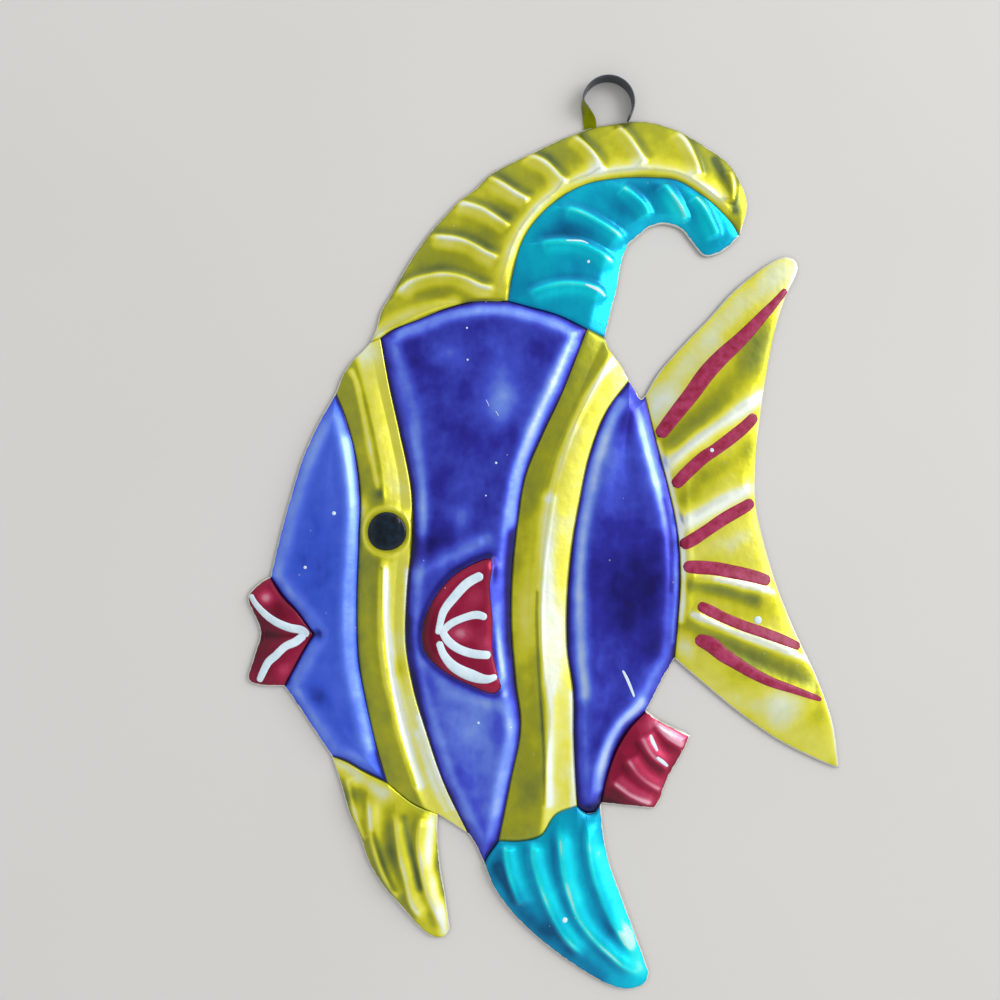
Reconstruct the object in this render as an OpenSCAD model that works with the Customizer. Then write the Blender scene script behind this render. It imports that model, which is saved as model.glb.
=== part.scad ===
// Embossed tin fish ornament, lying face up with +Y towards its hanging loop.
// One cut sheet carries a coat of coloured lacquer on each field, and the
// enamel strokes lie on that lacquer.

/* [Overall] */
// Width from the lips to the tip of the tail
ornament_w = 88.4; // [70:0.2:120]
// Length of the sheet from the lower fin to the top of the crest
sheet_len = 129.8; // [100:0.2:170]

/* [Sheet and coats] */
// Thickness of the tin sheet
sheet_t = 0.3; // [0.2:0.05:0.5]
// Thickness of one coat of lacquer
lacquer_t = 0.15; // [0.1:0.05:0.3]
// Thickness of an enamel stroke
enamel_t = 0.15; // [0.1:0.05:0.3]

/* [Embossing] */
// Height of the seams between the fields, as a share of the usual height
seam_rise = 1; // [0.6:0.1:1.5]
// Height of the pillow of each blue field
field_rise = 1.7; // [0.8:0.1:2.6]
// Height of the ridge along each yellow stripe
stripe_rise = 1.2; // [0.6:0.1:2]
// Height of the pillow of the fins, the tail and the crest
fin_rise = 0.8; // [0.4:0.1:1.4]
// Height of the narrow ribs
rib_rise = 0.6; // [0.3:0.1:1]
// Height of the boss under the side fin and of the collar round the eye
boss_rise = 0.9; // [0.4:0.1:1.4]

/* [Eye] */
// Diameter of the black eye
eye_d = 5.7; // [4:0.1:7]
// Outer diameter of the raised collar round the eye
collar_d = 8.2; // [7:0.1:9]

/* [Hanging loop] */
// Clear diameter inside the ring
loop_bore_d = 6.8; // [5:0.1:10]
// Thickness of the strip that makes the ring
loop_strip_t = 0.3; // [0.2:0.05:0.5]
// Width of the strip, which stands on edge
loop_strip_w = 2.4; // [1.5:0.1:4]
// Part of a full turn that the ring covers
loop_arc = 276; // [272:1:280]

/* [Hidden] */

// The outline points below are drawn for an ornament that reaches these four.
lips_front = [-44.2, -10.3];
tail_tip = [44.2, -35.2];
crest_top = [15.2, 61.6];
fin_bottom = [13.4, -68.2];
stretch = [
  ornament_w / (tail_tip[0] - lips_front[0]),
  sheet_len / (crest_top[1] - fin_bottom[1])
];

// Segments along the stretches that meet at the corners of the fields.
long_n = 26;
crest_n = 36;
shoulder_n = 7;
tail_n = 16;
below_tail_n = 2;
rear_fin_n = long_n - tail_n - below_tail_n;
nose_front_n = 11;
lip_half_n = 5;
throat_n = long_n - nose_front_n - 2 * lip_half_n;
across_n = 6;
flank_right_n = 4;
flank_tip_n = 7;
flank_foot_n = shoulder_n + flank_right_n - flank_tip_n;
stripe_top_n = 1;
notch_n = 3;
rear_n = stripe_top_n + notch_n;
stripe_foot_n = 4;
stripe_tip_n = across_n - stripe_foot_n;
crest_across_n = 4;
fin_n = 10;

// A smooth curve through the given points, cut into n pieces.
function last(list) = list[len(list) - 1];
function backward(list) = [for (i = [len(list) - 1 : -1 : 0]) list[i]];
function joined(a, b) = concat(a, [for (i = [1 : len(b) - 1]) b[i]]);
function lift(p) = [p[0] * stretch[0], p[1] * stretch[1], (len(p) > 2 ? p[2] : 0) * seam_rise];
function blend(a, b, c, d, f) =
  b + 0.5 * f * (c - a + f * (2 * a - 5 * b + 4 * c - d + f * (3 * b - 3 * c + d - a)));
function point_on(p, t) =
  let (k = min(floor(t), len(p) - 2))
  let (before = k > 0 ? p[k - 1] : 2 * p[0] - p[1])
  let (after = k < len(p) - 2 ? p[k + 2] : 2 * last(p) - p[len(p) - 2])
  blend(before, p[k], p[k + 1], after, t - k);
function curve(points, n) =
  let (p = [for (q = points) lift(q)])
  [for (i = [0 : n]) i == 0 ? p[0] : i == n ? last(p) : point_on(p, i * (len(p) - 1) / n)];
function loop_curve(points, per_point) =
  let (p = [for (q = points) [q[0] * stretch[0], q[1] * stretch[1]]], m = len(p))
  [for (i = [0 : m * per_point - 1])
    let (k = floor(i / per_point))
    blend(p[(k + m - 1) % m], p[k], p[(k + 1) % m], p[(k + 2) % m], i / per_point - k)];

// Corners where three or more fields meet, with the height of the seam there.
nose_top = [-31.1, 21];
crest_left = [-25.9, 28.6];
lips_top = [-40.9, -6.5];
lips_corner = [-34.3, -15, 0.9];
lips_bottom = [-38.8, -22.9];
throat_end = [-31.7, -33.4];
nose_foot = [-23.3, -37.2, 0.6];
fin_notch = [-15.8, -42.1];
stripe_tip = [-11.3, -45];
flank_tip = [-8.9, -49.5];
rear_stripe_foot = [-6.7, -45.8, 0.7];
rear_field_foot = [4.9, -40.6, 0.7];
anal_corner = [8.6, -40.4];
rear_fin_top = [15.4, -26.6];
tail_foot = [19.6, -18.8];
tail_top = [15.2, 20.6];
rear_shoulder = [12.8, 22.9];
crest_notch = [9.2, 29.2];
rear_stripe_top = [6.5, 30.4, 0.9];
crest_foot = [-5.3, 34.5, 1.2];
crest_beak = [29.3, 44.4];
crest_start = [-25, 30.4];
crest_bend = [-22.7, 36];
front_fin_heel = [-21.5, -55.4];
front_fin_tip = [-14, -59.2];
anal_tip = [15.7, -65.2];
rear_fin_tip = [22, -30.3];
rear_fin_heel = [16.6, -41.2];
tail_peak = [36.5, 41.4];

// Seams between the fields of the body, each from its top to its foot.
front_seam = curve([nose_top, [-29.5, 17.1, 0.6], [-28, 11.7, 1], [-27.2, 5.2, 1.2],
  [-27.4, -1.8, 1.3], [-27.7, -10, 1.3], [-27.5, -18.3, 1.2], [-26.3, -25.5, 1],
  [-24.8, -32.1, 0.8], nose_foot], long_n);
flank_seam = curve([crest_left, [-23, 21.8, 0.9], [-21.4, 14.8, 1.2], [-19.7, 6.5, 1.4],
  [-19.6, -1.1, 1.5], [-20.3, -8.5, 1.5], [-20.5, -16.1, 1.4], [-19.4, -22.9, 1.3],
  [-17.5, -29.5, 1.1], [-14.9, -37.2, 0.8], stripe_tip], long_n);
rear_seam = curve([rear_stripe_top, [2.8, 21.1, 1.2], [-0.2, 14.7, 1.4], [-2.8, 8.4, 1.5],
  [-4, 1.2, 1.6], [-4.7, -5.5, 1.6], [-4.9, -13, 1.6], [-4.3, -21.3, 1.5],
  [-3.5, -28.8, 1.3], [-5, -36.9, 1.1], rear_stripe_foot], long_n);
field_seam = curve([rear_shoulder, [9.1, 17.8, 0.8], [6.7, 11.5, 1.2], [5.3, 5, 1.4],
  [4.1, -1.9, 1.5], [3.4, -9.6, 1.5], [3.4, -16.8, 1.4], [4.3, -23.6, 1.3],
  [4.4, -30.8, 1.1], rear_field_foot], long_n);
tail_seam = curve([tail_top, [16.7, 13.9, 0.5], [18.5, 6.9, 0.8], [19.9, 0, 0.9],
  [20.3, -6.9, 0.9], [20, -13, 0.6], tail_foot], tail_n);
rear_fin_seam = curve([rear_fin_top, [12.8, -29.1, 0.3], [10.7, -32.5, 0.5],
  [9.2, -36.9, 0.4], anal_corner], rear_fin_n);
lips_seam = joined(
  curve([lips_top, [-39.1, -9.2, 0.5], [-36.7, -11.7, 0.8], lips_corner], lip_half_n),
  curve([lips_corner, [-35.9, -17.7, 0.8], [-37.4, -20.4, 0.5], lips_bottom], lip_half_n));

// Seams along the top and the foot of the body, each from left to right.
flank_top_left = curve([crest_left, [-22.3, 30.3, 0.6], [-18.5, 31.8, 0.9],
  [-14.5, 33.4, 1.1], [-10, 34.5, 1.2], crest_foot], shoulder_n);
flank_top_right = curve([crest_foot, [-2, 33.6, 1.2], [2.2, 32.4, 1.1], rear_stripe_top],
  flank_right_n);
rear_stripe_crest = curve([rear_stripe_top, crest_notch], stripe_top_n);
nose_fin_seam = curve([throat_end, [-29.3, -34.2, 0.3], [-26.9, -35.5, 0.5], nose_foot],
  across_n);
stripe_fin_seam = curve([nose_foot, [-19.6, -40.2, 0.5], fin_notch], stripe_foot_n);
flank_fin_seam = curve([flank_tip, [-8.2, -48, 0.4], rear_stripe_foot], flank_foot_n);
rear_fin_side = curve([rear_stripe_foot, [-3.5, -45.8, 0.8], [-0.4, -44.9, 0.8],
  [1.7, -41.9, 0.8], rear_field_foot], rear_n);
field_fin_side = curve([rear_field_foot, [6.2, -41.7, 0.5], [7.6, -41.7, 0.3], anal_corner],
  across_n);
crest_inner = curve([crest_foot, [-4.9, 37.2, 1.3], [-4.3, 39.9, 1.3], [-3.7, 42.1, 1.3],
  [-2.8, 44.2, 1.3], [-1.6, 46, 1.3], [0.1, 47.9, 1.3], [1.9, 49.4, 1.3], [3.8, 50.7, 1.2],
  [6.2, 51.8, 1.2], [8.8, 52.4, 1.2], [12.4, 52.8, 1.1], [16.3, 52.8, 1.1], [19.9, 52.4, 1],
  [23.2, 50.5, 0.9], [25.4, 48.9, 0.7], [27.5, 46.8, 0.5], [28.6, 45.4, 0.3], crest_beak],
  crest_n);

// Cut edges of the sheet, which lie on the ground.
shoulder_edge = curve([nose_top, [-30.1, 23.6], [-28.6, 25.8], [-27.1, 27.3], crest_left],
  across_n);
nose_edge = curve([nose_top, [-33.8, 16.3], [-36.1, 11.2], [-37.7, 6.1], [-39.1, 1.1],
  [-40.1, -3], lips_top], nose_front_n);
lips_edge = curve([lips_top, [-42.2, -7.2], [-43.9, -8.8], lips_front, [-43.1, -12.6],
  [-42.4, -15], [-43.1, -17.6], [-43.7, -19.6], [-44.2, -21.9], [-42.2, -22.8],
  lips_bottom], 2 * lip_half_n);
throat_edge = curve([lips_bottom, [-36.5, -26.2], [-34, -30], throat_end], throat_n);
front_fin_left = curve([throat_end, [-30.5, -37], [-29.2, -41.5], [-27.5, -45.3],
  [-26.2, -49], [-24.2, -52.5], front_fin_heel], fin_n);
front_fin_end = curve([front_fin_heel, [-18.8, -58.6], [-16.7, -60.3], [-14.9, -60.4],
  front_fin_tip], across_n + stripe_foot_n);
front_fin_right = curve([fin_notch, [-15.8, -45.8], [-15.4, -49.9], [-14.6, -54.6],
  front_fin_tip], fin_n);
stripe_edge = curve([fin_notch, [-13.7, -43.4], stripe_tip], stripe_tip_n);
flank_edge = curve([stripe_tip, [-10.1, -46.8], flank_tip], flank_tip_n);
anal_lower = curve([flank_tip, [-7.3, -53.2], [-4.6, -56.9], [-0.5, -60.8], [4, -64.2],
  [8.9, -67.3], fin_bottom, anal_tip], flank_foot_n + rear_n + across_n);
anal_right = curve([anal_corner, [8.9, -44.2], [9.8, -49], [11.6, -54], [13.9, -60.3],
  anal_tip], fin_n);
rear_fin_upper = curve([rear_fin_top, [17.6, -28.1], rear_fin_tip], rear_n);
rear_fin_right = curve([rear_fin_tip, [20.5, -33.3], [18.5, -36.8], [17.5, -39.6],
  rear_fin_heel], rear_fin_n);
rear_fin_foot = curve([anal_corner, [12.7, -40.8], rear_fin_heel], rear_n);
below_tail_edge = curve([tail_foot, [18.1, -21.3], [16.7, -24], rear_fin_top], below_tail_n);
tail_upper = curve([tail_top, [17.3, 24.1], [21.2, 28.5], [24.7, 32.1], [28.1, 35.9],
  [32, 39.1], tail_peak], fin_n);
tail_rear = curve([tail_peak, [38, 39.4], [36.2, 35.4], [34.7, 30.4], [33.5, 24.6],
  [32.5, 18.1], [31.8, 12.4], [31.7, 5.2], [32.8, -0.6], [34.9, -7.8], [37.7, -14.8],
  [40.9, -21.6], [43.3, -28.5], tail_tip], tail_n);
tail_lower = curve([tail_foot, [23.2, -21.9], [28.9, -26.6], [35, -30.9], [40.9, -33.9],
  tail_tip], fin_n);
rear_field_top = curve([rear_shoulder, [13.6, 21.6], [14.5, 20.2], tail_top], across_n);
rear_stripe_edge = curve([crest_notch, [10.1, 27.3], [11.5, 25.3], rear_shoulder], notch_n);
crest_end = curve([crest_left, [-25.4, 29.5], crest_start], crest_across_n);
crest_shoulder = curve([crest_start, [-24.4, 33.1], crest_bend], shoulder_n);
crest_outer = curve([crest_bend, [-19.9, 40.9], [-16.9, 45.1], [-14.6, 47.7],
  [-12.5, 49.9], [-10.4, 51.4], [-8, 53.7], [-5.3, 55.2], [-2.2, 56.7], [1.1, 58.3],
  [4.7, 59.8], [7.7, 60.8], [10.9, 61.3], crest_top, [19.9, 60.3], [24.1, 57.9],
  [28, 54.9], [30.5, 49.5], crest_beak], crest_n);
hook_edge = curve([crest_notch, [10.4, 34], [11, 36.3], [11.3, 38.1], [11.6, 39.8],
  [11.9, 41.1], [12.4, 42.3], [12.8, 43.2], [13.6, 43.9], [14.3, 44.5], [15.2, 45.3],
  [16.1, 45.8], [18.1, 46.2], [20.5, 45.4], [22.1, 43.5], [23.9, 41.5], [25.9, 41.7],
  [27.7, 42.8], crest_beak], crest_n);

// Embossed shapes, where u runs from 0 at the top of a field to 1 at its foot
// and v from 0 at its left side to 1 at its right.
function pillow(u, v, ends, sides) = pow(sin(180 * u), ends) * pow(sin(180 * v), sides);
function bump(distance, width) = exp(-pow(distance / width, 2));
function sum(list) = list * [for (x = list) 1];
function ridge(v) = 1 - abs(2 * v - 1);
function smooth(t) = let (s = min(max(t, 0), 1)) s * s * (3 - 2 * s);

eye_at = [-23.2 * stretch[0], 0.3 * stretch[1]];
side_fin_at = [-12.2, -13.8];
side_fin_half = [8, 12];

function plain_rise(h) = function(u, v, p) h * pillow(u, v, 0.5, 0.6);
stripe_relief = function(u, v, p) stripe_rise * (0.5 * pillow(u, v, 0.3, 0.6)
  + 0.5 * ridge(v) * pow(sin(180 * u), 0.3));
front_stripe_relief = function(u, v, p)
  let (r = norm([p[0], p[1]] - eye_at), near = smooth((0.62 * collar_d - r) / 2))
  (1 - near) * stripe_relief(u, v, p) + near * boss_rise * 1.2 * pow(sin(180 * v), 0.4);
flank_relief = function(u, v, p)
  let (dx = (p[0] / stretch[0] - side_fin_at[0]) / side_fin_half[0])
  let (dy = (p[1] / stretch[1] - side_fin_at[1]) / side_fin_half[1])
  field_rise * pillow(u, v, 0.5, 0.55) + boss_rise * smooth(1.4 * (1 - dx * dx - dy * dy));
lips_relief = function(u, v, p)
  fin_rise * pillow(u, v, 0.5, 0.6) * (1 - 0.6 * bump(u - 0.5, 0.12));
// Each fin rib goes from its place along the top seam to its place along the edge.
function ribbed(ribs, width) = function(u, v, p) pillow(u, v, 0.4, 0.4) * (fin_rise
  + rib_rise * sum([for (r = ribs) bump(v - r[0] - u * (r[1] - r[0]), width)]));
front_fin_relief = ribbed([[0.12, -0.1], [0.38, 0.05], [0.62, 0.42], [0.85, 0.88]], 0.07);
anal_fin_relief = ribbed([[0.26, 0.3], [0.46, 0.62], [0.69, 0.9], [0.89, 0.97]], 0.05);
rear_fin_relief = function(u, v, p)
  pillow(u, v, 0.4, 0.4) * (fin_rise - 0.5 * rib_rise * cos(360 * 4 * u));
tail_relief = function(u, v, p) pillow(u, v, 0.4, 0.5) * (fin_rise
  + rib_rise * sum([for (place = [0.28, 0.5, 0.72, 0.86]) bump(u - place, 0.06)]));
crest_relief = function(u, v, p)
  let (pitches = (u * (crest_n + shoulder_n) - shoulder_n) / 4)
  pow(sin(180 * v), 0.5) * (0.6 * fin_rise + rib_rise
    * (pitches > -0.5 ? (1 + cos(360 * pitches)) / 2 : 0)) * min(1, 9 * (1 - u), 20 * u);
hook_relief = function(u, v, p) pillow(u, v, 0.35, 0.5) * (0.5 * fin_rise
  + rib_rise * 1.2 * sum([for (place = [1, 4, 7, 11, 13, 15]) bump(u - place / 18, 0.03)]));

// A field is a grid of points between its four sides, raised by its relief.
function field(left, right, top, foot, relief) =
  let (n = len(left) - 1, m = len(top) - 1)
  [for (i = [0 : n]) [for (j = [0 : m])
    i == 0 ? top[j] : i == n ? foot[j] : j == 0 ? left[i] : j == m ? right[i] :
    let (u = i / n, v = j / m)
    let (p = (1 - v) * left[i] + v * right[i] + (1 - u) * top[j] + u * foot[j]
      - (1 - u) * ((1 - v) * top[0] + v * top[m]) - u * ((1 - v) * foot[0] + v * foot[m]))
    p + [0, 0, relief(u, v, p)]]];
function held(p, n) = [for (j = [0 : n]) p];

nose_side = joined(joined(nose_edge, lips_seam), throat_edge);
flank_top = joined(flank_top_left, flank_top_right);
anal_top = joined(joined(flank_fin_seam, rear_fin_side), field_fin_side);
rear_side = joined(joined(tail_seam, below_tail_edge), rear_fin_seam);

nose = field(nose_side, front_seam, held(nose_edge[0], across_n), nose_fin_seam,
  plain_rise(field_rise));
lips = field(lips_edge, lips_seam, held(lips_seam[0], crest_across_n),
  held(last(lips_seam), crest_across_n), lips_relief);
front_stripe = field(front_seam, flank_seam, shoulder_edge,
  joined(stripe_fin_seam, stripe_edge), front_stripe_relief);
flank = field(flank_seam, rear_seam, flank_top, joined(flank_edge, flank_fin_seam),
  flank_relief);
rear_stripe = field(rear_seam, field_seam, joined(rear_stripe_crest, rear_stripe_edge),
  rear_fin_side, stripe_relief);
rear_field = field(field_seam, rear_side, rear_field_top, field_fin_side,
  plain_rise(0.8 * field_rise));
crest_yellow = field(joined(flank_top_left, crest_inner), joined(crest_shoulder, crest_outer),
  crest_end, held(last(crest_outer), crest_across_n), crest_relief);
crest_turquoise = field(hook_edge, crest_inner,
  backward(joined(flank_top_right, rear_stripe_crest)),
  held(last(hook_edge), flank_right_n + stripe_top_n), hook_relief);
front_fin = field(front_fin_left, front_fin_right, joined(nose_fin_seam, stripe_fin_seam),
  front_fin_end, front_fin_relief);
anal_fin = field(held(anal_top[0], fin_n), anal_right, anal_top, anal_lower,
  anal_fin_relief);
rear_fin = field(rear_fin_seam, rear_fin_right, rear_fin_upper, rear_fin_foot,
  rear_fin_relief);
tail = field(tail_seam, tail_rear, tail_upper, tail_lower, tail_relief);

all_fields = [nose, lips, front_stripe, flank, rear_stripe, rear_field, crest_yellow,
  crest_turquoise, front_fin, anal_fin, rear_fin, tail];

// Faces of the slab between a field's points raised by two heights. A side
// gets a wall all along, or only where it lies on the ground.
function raised(grid, h) = [for (row = grid) for (p = row) p + [0, 0, h]];
function kept(faces, points) =
  [for (f = faces)
    if (points[f[0]] != points[f[1]] && points[f[1]] != points[f[2]]
      && points[f[2]] != points[f[0]]) f];
function skin(n, m) =
  [for (i = [0 : n - 1]) for (j = [0 : m - 1])
    let (a = i * (m + 1) + j, b = a + 1, c = a + m + 1, d = c + 1)
    each (i + j) % 2 == 0 ? [[a, b, d], [a, d, c]] : [[a, b, c], [b, d, c]]];
function rim(n, m) = concat(
  [for (i = [n : -1 : 1]) [i * (m + 1), (i - 1) * (m + 1)]],
  [for (j = [0 : m - 1]) [j, j + 1]],
  [for (i = [0 : n - 1]) [i * (m + 1) + m, (i + 1) * (m + 1) + m]],
  [for (j = [m : -1 : 1]) [n * (m + 1) + j, n * (m + 1) + j - 1]]);
function slab_points(grid, low, high) = concat(raised(grid, high), raised(grid, low));
function slab_faces(grid, ground_only) =
  let (n = len(grid) - 1, m = len(grid[0]) - 1, k = (n + 1) * (m + 1))
  let (flat = [for (row = grid) each row])
  kept(concat(
    skin(n, m),
    [for (f = skin(n, m)) [f[2] + k, f[1] + k, f[0] + k]],
    [for (e = rim(n, m))
      if (flat[e[0]] != flat[e[1]] && (!ground_only || flat[e[0]][2] + flat[e[1]][2] == 0))
        each [[e[1], e[0], e[0] + k], [e[1], e[0] + k, e[1] + k]]]),
    slab_points(grid, 0, 1));
function starts(grids) =
  [for (k = 0, s = 0; k < len(grids);
    s = s + 2 * len(grids[k]) * len(grids[k][0]), k = k + 1) s];

module coat(grid, low, thickness) {
  polyhedron(slab_points(grid, low, low + thickness), slab_faces(grid, false));
}

module laid_on(grid, rows, low) {
  intersection() {
    coat([for (i = [rows[0] : rows[1]]) grid[i]], low, enamel_t);
    linear_extrude(20) children();
  }
}

// A brush stroke along a few points, each with its width.
module stroke(points) {
  steps = 3 * (len(points) - 1);
  middle = [for (p = points) [p[0] * stretch[0], p[1] * stretch[1], p[2]]];
  line = [for (i = [0 : steps]) point_on(middle, i / 3)];
  side = [for (i = [0 : steps])
    let (a = line[max(i - 1, 0)], b = line[min(i + 1, steps)], d = [b[0] - a[0], b[1] - a[1]])
    [-d[1], d[0]] / norm(d) * line[i][2] / 2];
  polygon(concat(
    [for (i = [0 : steps]) [line[i][0], line[i][1]] + side[i]],
    [for (i = [steps : -1 : 0]) [line[i][0], line[i][1]] - side[i]]));
}

module strokes(list) {
  for (points = list) stroke(points);
}

// Rows of each field's grid that its strokes reach.
fin_rows = [9, 21];
eye_rows = [5, 14];
coat_z = sheet_t;
enamel_z = sheet_t + lacquer_t;
stroke_z = enamel_z + enamel_t;

side_fin_outline = [[-8.9, -3.9], [-7.9, -4.8], [-8.3, -8.3], [-7.9, -13.1], [-7.9, -17.6],
  [-7.1, -21.3], [-6.7, -23.1], [-8.2, -24], [-11.6, -22.7], [-15.1, -20.7], [-17.9, -17.9],
  [-18.1, -13.8], [-16.4, -9.6], [-13.3, -6.2]];

tail_strokes = [
  [[17.6, 14.6, 1.9], [22, 20.9, 1.9], [26.3, 26.1, 1.9], [30.8, 30.5, 1.4], [36.1, 35.8, 0.6]],
  [[19.6, 7.2, 1.3], [23.6, 11.3, 1.5], [27.7, 14.1, 1.5], [31.6, 17.2, 1.3]],
  [[20.8, -1.6, 1.4], [24.2, 0.5, 1.5], [28, 2.9, 1.5], [31.2, 4.6, 1.4]],
  [[21, -5, 1.6], [25.3, -5.3, 1.8], [30.8, -6.3, 1.7], [33.7, -7.2, 1.5]],
  [[23, -10.8, 1.1], [27, -12.6, 1.2], [32.5, -14.7, 1.2], [38, -16.9, 1.2]],
  [[22.7, -15.8, 1.2], [26.6, -18, 1.7], [33.8, -22.1, 1.9], [41.6, -24.8, 0.7]]];

side_fin_strokes = [
  [[-9.7, -6.6, 1.3], [-13.7, -9.8, 1.4], [-15.6, -13, 1.1], [-16.1, -15.3, 0.9]],
  [[-9, -12.8, 1], [-12.2, -12.8, 1.1], [-15.1, -14.6, 1]],
  [[-15.1, -14.7, 1], [-13, -17.4, 1.3], [-8.5, -18.3, 1.2]],
  [[-16, -16.2, 1], [-13.6, -20.1, 1.6], [-7.6, -21.4, 0.8]]];

lip_strokes = [
  [[-43.4, -9.6, 0.8], [-41.9, -12, 1], [-38, -14.1, 1.2], [-35.6, -15.1, 1.2]],
  [[-35.6, -15.1, 1.2], [-38.6, -17, 1.2], [-41.2, -19.4, 1.2], [-42.4, -21.9, 0.9]]];

module tin_sheet() {
  from = starts(all_fields);
  color("silver")
    polyhedron(
      [for (grid = all_fields) each slab_points(grid, 0, sheet_t)],
      [for (k = [0 : len(all_fields) - 1]) for (f = slab_faces(all_fields[k], true))
        [f[0] + from[k], f[1] + from[k], f[2] + from[k]]]);
}

// The strip starts as a tab on the crest's edge and stands up into a ring.
tab_start = crest_outer[21];
tab_end = crest_outer[22];
loop_r = loop_bore_d / 2;
loop_end = -50;
loop_gap = 0.4;
tab_turn = 14;
loop_at = [tab_end[0] + 0.75 * loop_r - 0.45, tab_end[1] + loop_r + loop_gap];

module hanging_loop() {
  mid_r = loop_r + loop_strip_t / 2;
  turn = loop_end + loop_arc;
  color("dimgray") {
    linear_extrude(sheet_t)
      polygon([
        [tab_start[0], tab_start[1]], [tab_end[0], tab_end[1]],
        loop_at + mid_r * [cos(turn), sin(turn)],
        loop_at + mid_r * [cos(turn - tab_turn), sin(turn - tab_turn)]]);
    translate([loop_at[0], loop_at[1], 0])
      rotate([0, 0, loop_end])
        rotate_extrude(angle = loop_arc, $fn = 96)
          translate([loop_r, 0]) square([loop_strip_t, loop_strip_w]);
  }
}

module nose_lacquer() { color("royalblue") coat(nose, coat_z, lacquer_t); }
module lips_lacquer() { color("crimson") coat(lips, coat_z, lacquer_t); }
module front_stripe_lacquer() { color("gold") coat(front_stripe, coat_z, lacquer_t); }
module flank_lacquer() { color("mediumblue") coat(flank, coat_z, lacquer_t); }
module rear_stripe_lacquer() { color("gold") coat(rear_stripe, coat_z, lacquer_t); }
module rear_field_lacquer() { color("mediumblue") coat(rear_field, coat_z, lacquer_t); }
module crest_yellow_lacquer() { color("khaki") coat(crest_yellow, coat_z, lacquer_t); }
module crest_turquoise_lacquer() {
  color("darkturquoise") coat(crest_turquoise, coat_z, lacquer_t);
}
module front_fin_lacquer() { color("gold") coat(front_fin, coat_z, lacquer_t); }
module anal_fin_lacquer() { color("darkturquoise") coat(anal_fin, coat_z, lacquer_t); }
module rear_fin_lacquer() { color("crimson") coat(rear_fin, coat_z, lacquer_t); }
module tail_lacquer() { color("khaki") coat(tail, coat_z, lacquer_t); }

module pectoral_fin_lacquer() {
  color("crimson") laid_on(flank, fin_rows, enamel_z) polygon(loop_curve(side_fin_outline, 2));
}

module eye_enamel() {
  color("black")
    laid_on(front_stripe, eye_rows, enamel_z) translate(eye_at) circle(d = eye_d, $fn = 48);
}

module lip_white_strokes() {
  color("aliceblue") laid_on(lips, [0, 2 * lip_half_n], enamel_z) strokes(lip_strokes);
}

module pectoral_white_strokes() {
  color("aliceblue") laid_on(flank, fin_rows, stroke_z) strokes(side_fin_strokes);
}

module tail_red_strokes() {
  color("brown") laid_on(tail, [0, tail_n], enamel_z) strokes(tail_strokes);
}

tin_sheet();
hanging_loop();
nose_lacquer();
lips_lacquer();
front_stripe_lacquer();
flank_lacquer();
rear_stripe_lacquer();
rear_field_lacquer();
crest_yellow_lacquer();
crest_turquoise_lacquer();
front_fin_lacquer();
anal_fin_lacquer();
rear_fin_lacquer();
tail_lacquer();
pectoral_fin_lacquer();
eye_enamel();
lip_white_strokes();
pectoral_white_strokes();
tail_red_strokes();
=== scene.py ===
import math

import bpy
import numpy as np
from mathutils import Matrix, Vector


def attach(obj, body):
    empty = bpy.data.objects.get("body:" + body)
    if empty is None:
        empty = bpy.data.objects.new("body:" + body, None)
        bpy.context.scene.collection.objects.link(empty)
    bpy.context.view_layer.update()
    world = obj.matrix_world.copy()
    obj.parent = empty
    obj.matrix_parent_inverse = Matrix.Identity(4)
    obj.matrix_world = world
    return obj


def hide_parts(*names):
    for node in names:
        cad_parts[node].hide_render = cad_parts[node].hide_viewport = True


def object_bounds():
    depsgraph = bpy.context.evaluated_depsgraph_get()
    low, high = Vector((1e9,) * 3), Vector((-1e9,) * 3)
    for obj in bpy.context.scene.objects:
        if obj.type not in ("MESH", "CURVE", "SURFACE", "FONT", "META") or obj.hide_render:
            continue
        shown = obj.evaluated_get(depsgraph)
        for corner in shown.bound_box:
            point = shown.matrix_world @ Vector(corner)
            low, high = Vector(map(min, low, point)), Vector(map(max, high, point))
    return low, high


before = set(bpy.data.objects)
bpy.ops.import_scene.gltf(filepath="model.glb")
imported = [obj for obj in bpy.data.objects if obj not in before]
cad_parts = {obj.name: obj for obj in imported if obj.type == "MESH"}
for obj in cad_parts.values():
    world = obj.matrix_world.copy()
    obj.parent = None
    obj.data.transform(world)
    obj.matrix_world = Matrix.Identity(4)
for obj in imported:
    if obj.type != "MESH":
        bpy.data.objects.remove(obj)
cad_box = [list(corner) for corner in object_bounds()]

# A millimetre in metres, and in millimetres the thickness of the tin, a coat and a brush stroke.
MM = 0.001
SHEET = 0.30
COAT = 0.13
STROKE = 0.14
ON_COAT = SHEET + COAT
# A distance to the cut edge, in millimetres, at which nothing of it shows.
FAR = 9.0

# Corners where fields of the embossed sheet meet, in millimetres: X, Y and the seam's height.
NOSE_TOP = [-31.1, 21, 0]
CREST_LEFT = [-25.9, 28.6, 0]
FLANK_CORNER = [-24.4, 29.1, 0.5]
LIPS_TOP = [-40.9, -6.5, 0]
LIPS_CORNER = [-34.3, -15, 0.9]
LIPS_BOTTOM = [-38.8, -22.9, 0]
THROAT_END = [-31.7, -33.4, 0]
NOSE_FOOT = [-23.3, -37.2, 0.6]
FIN_NOTCH = [-15.8, -42.1, 0]
STRIPE_TIP = [-11.3, -45, 0]
FLANK_TIP = [-8.9, -49.5, 0]
REAR_STRIPE_FOOT = [-6.7, -45.8, 0.7]
REAR_FIELD_FOOT = [4.9, -40.6, 0.7]
ANAL_CORNER = [8.6, -40.4, 0]
REAR_FIN_TOP = [15.4, -26.6, 0]
TAIL_FOOT = [19.6, -18.8, 0]
TAIL_TOP = [15.2, 20.6, 0]
REAR_SHOULDER = [12.8, 22.9, 0]
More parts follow.
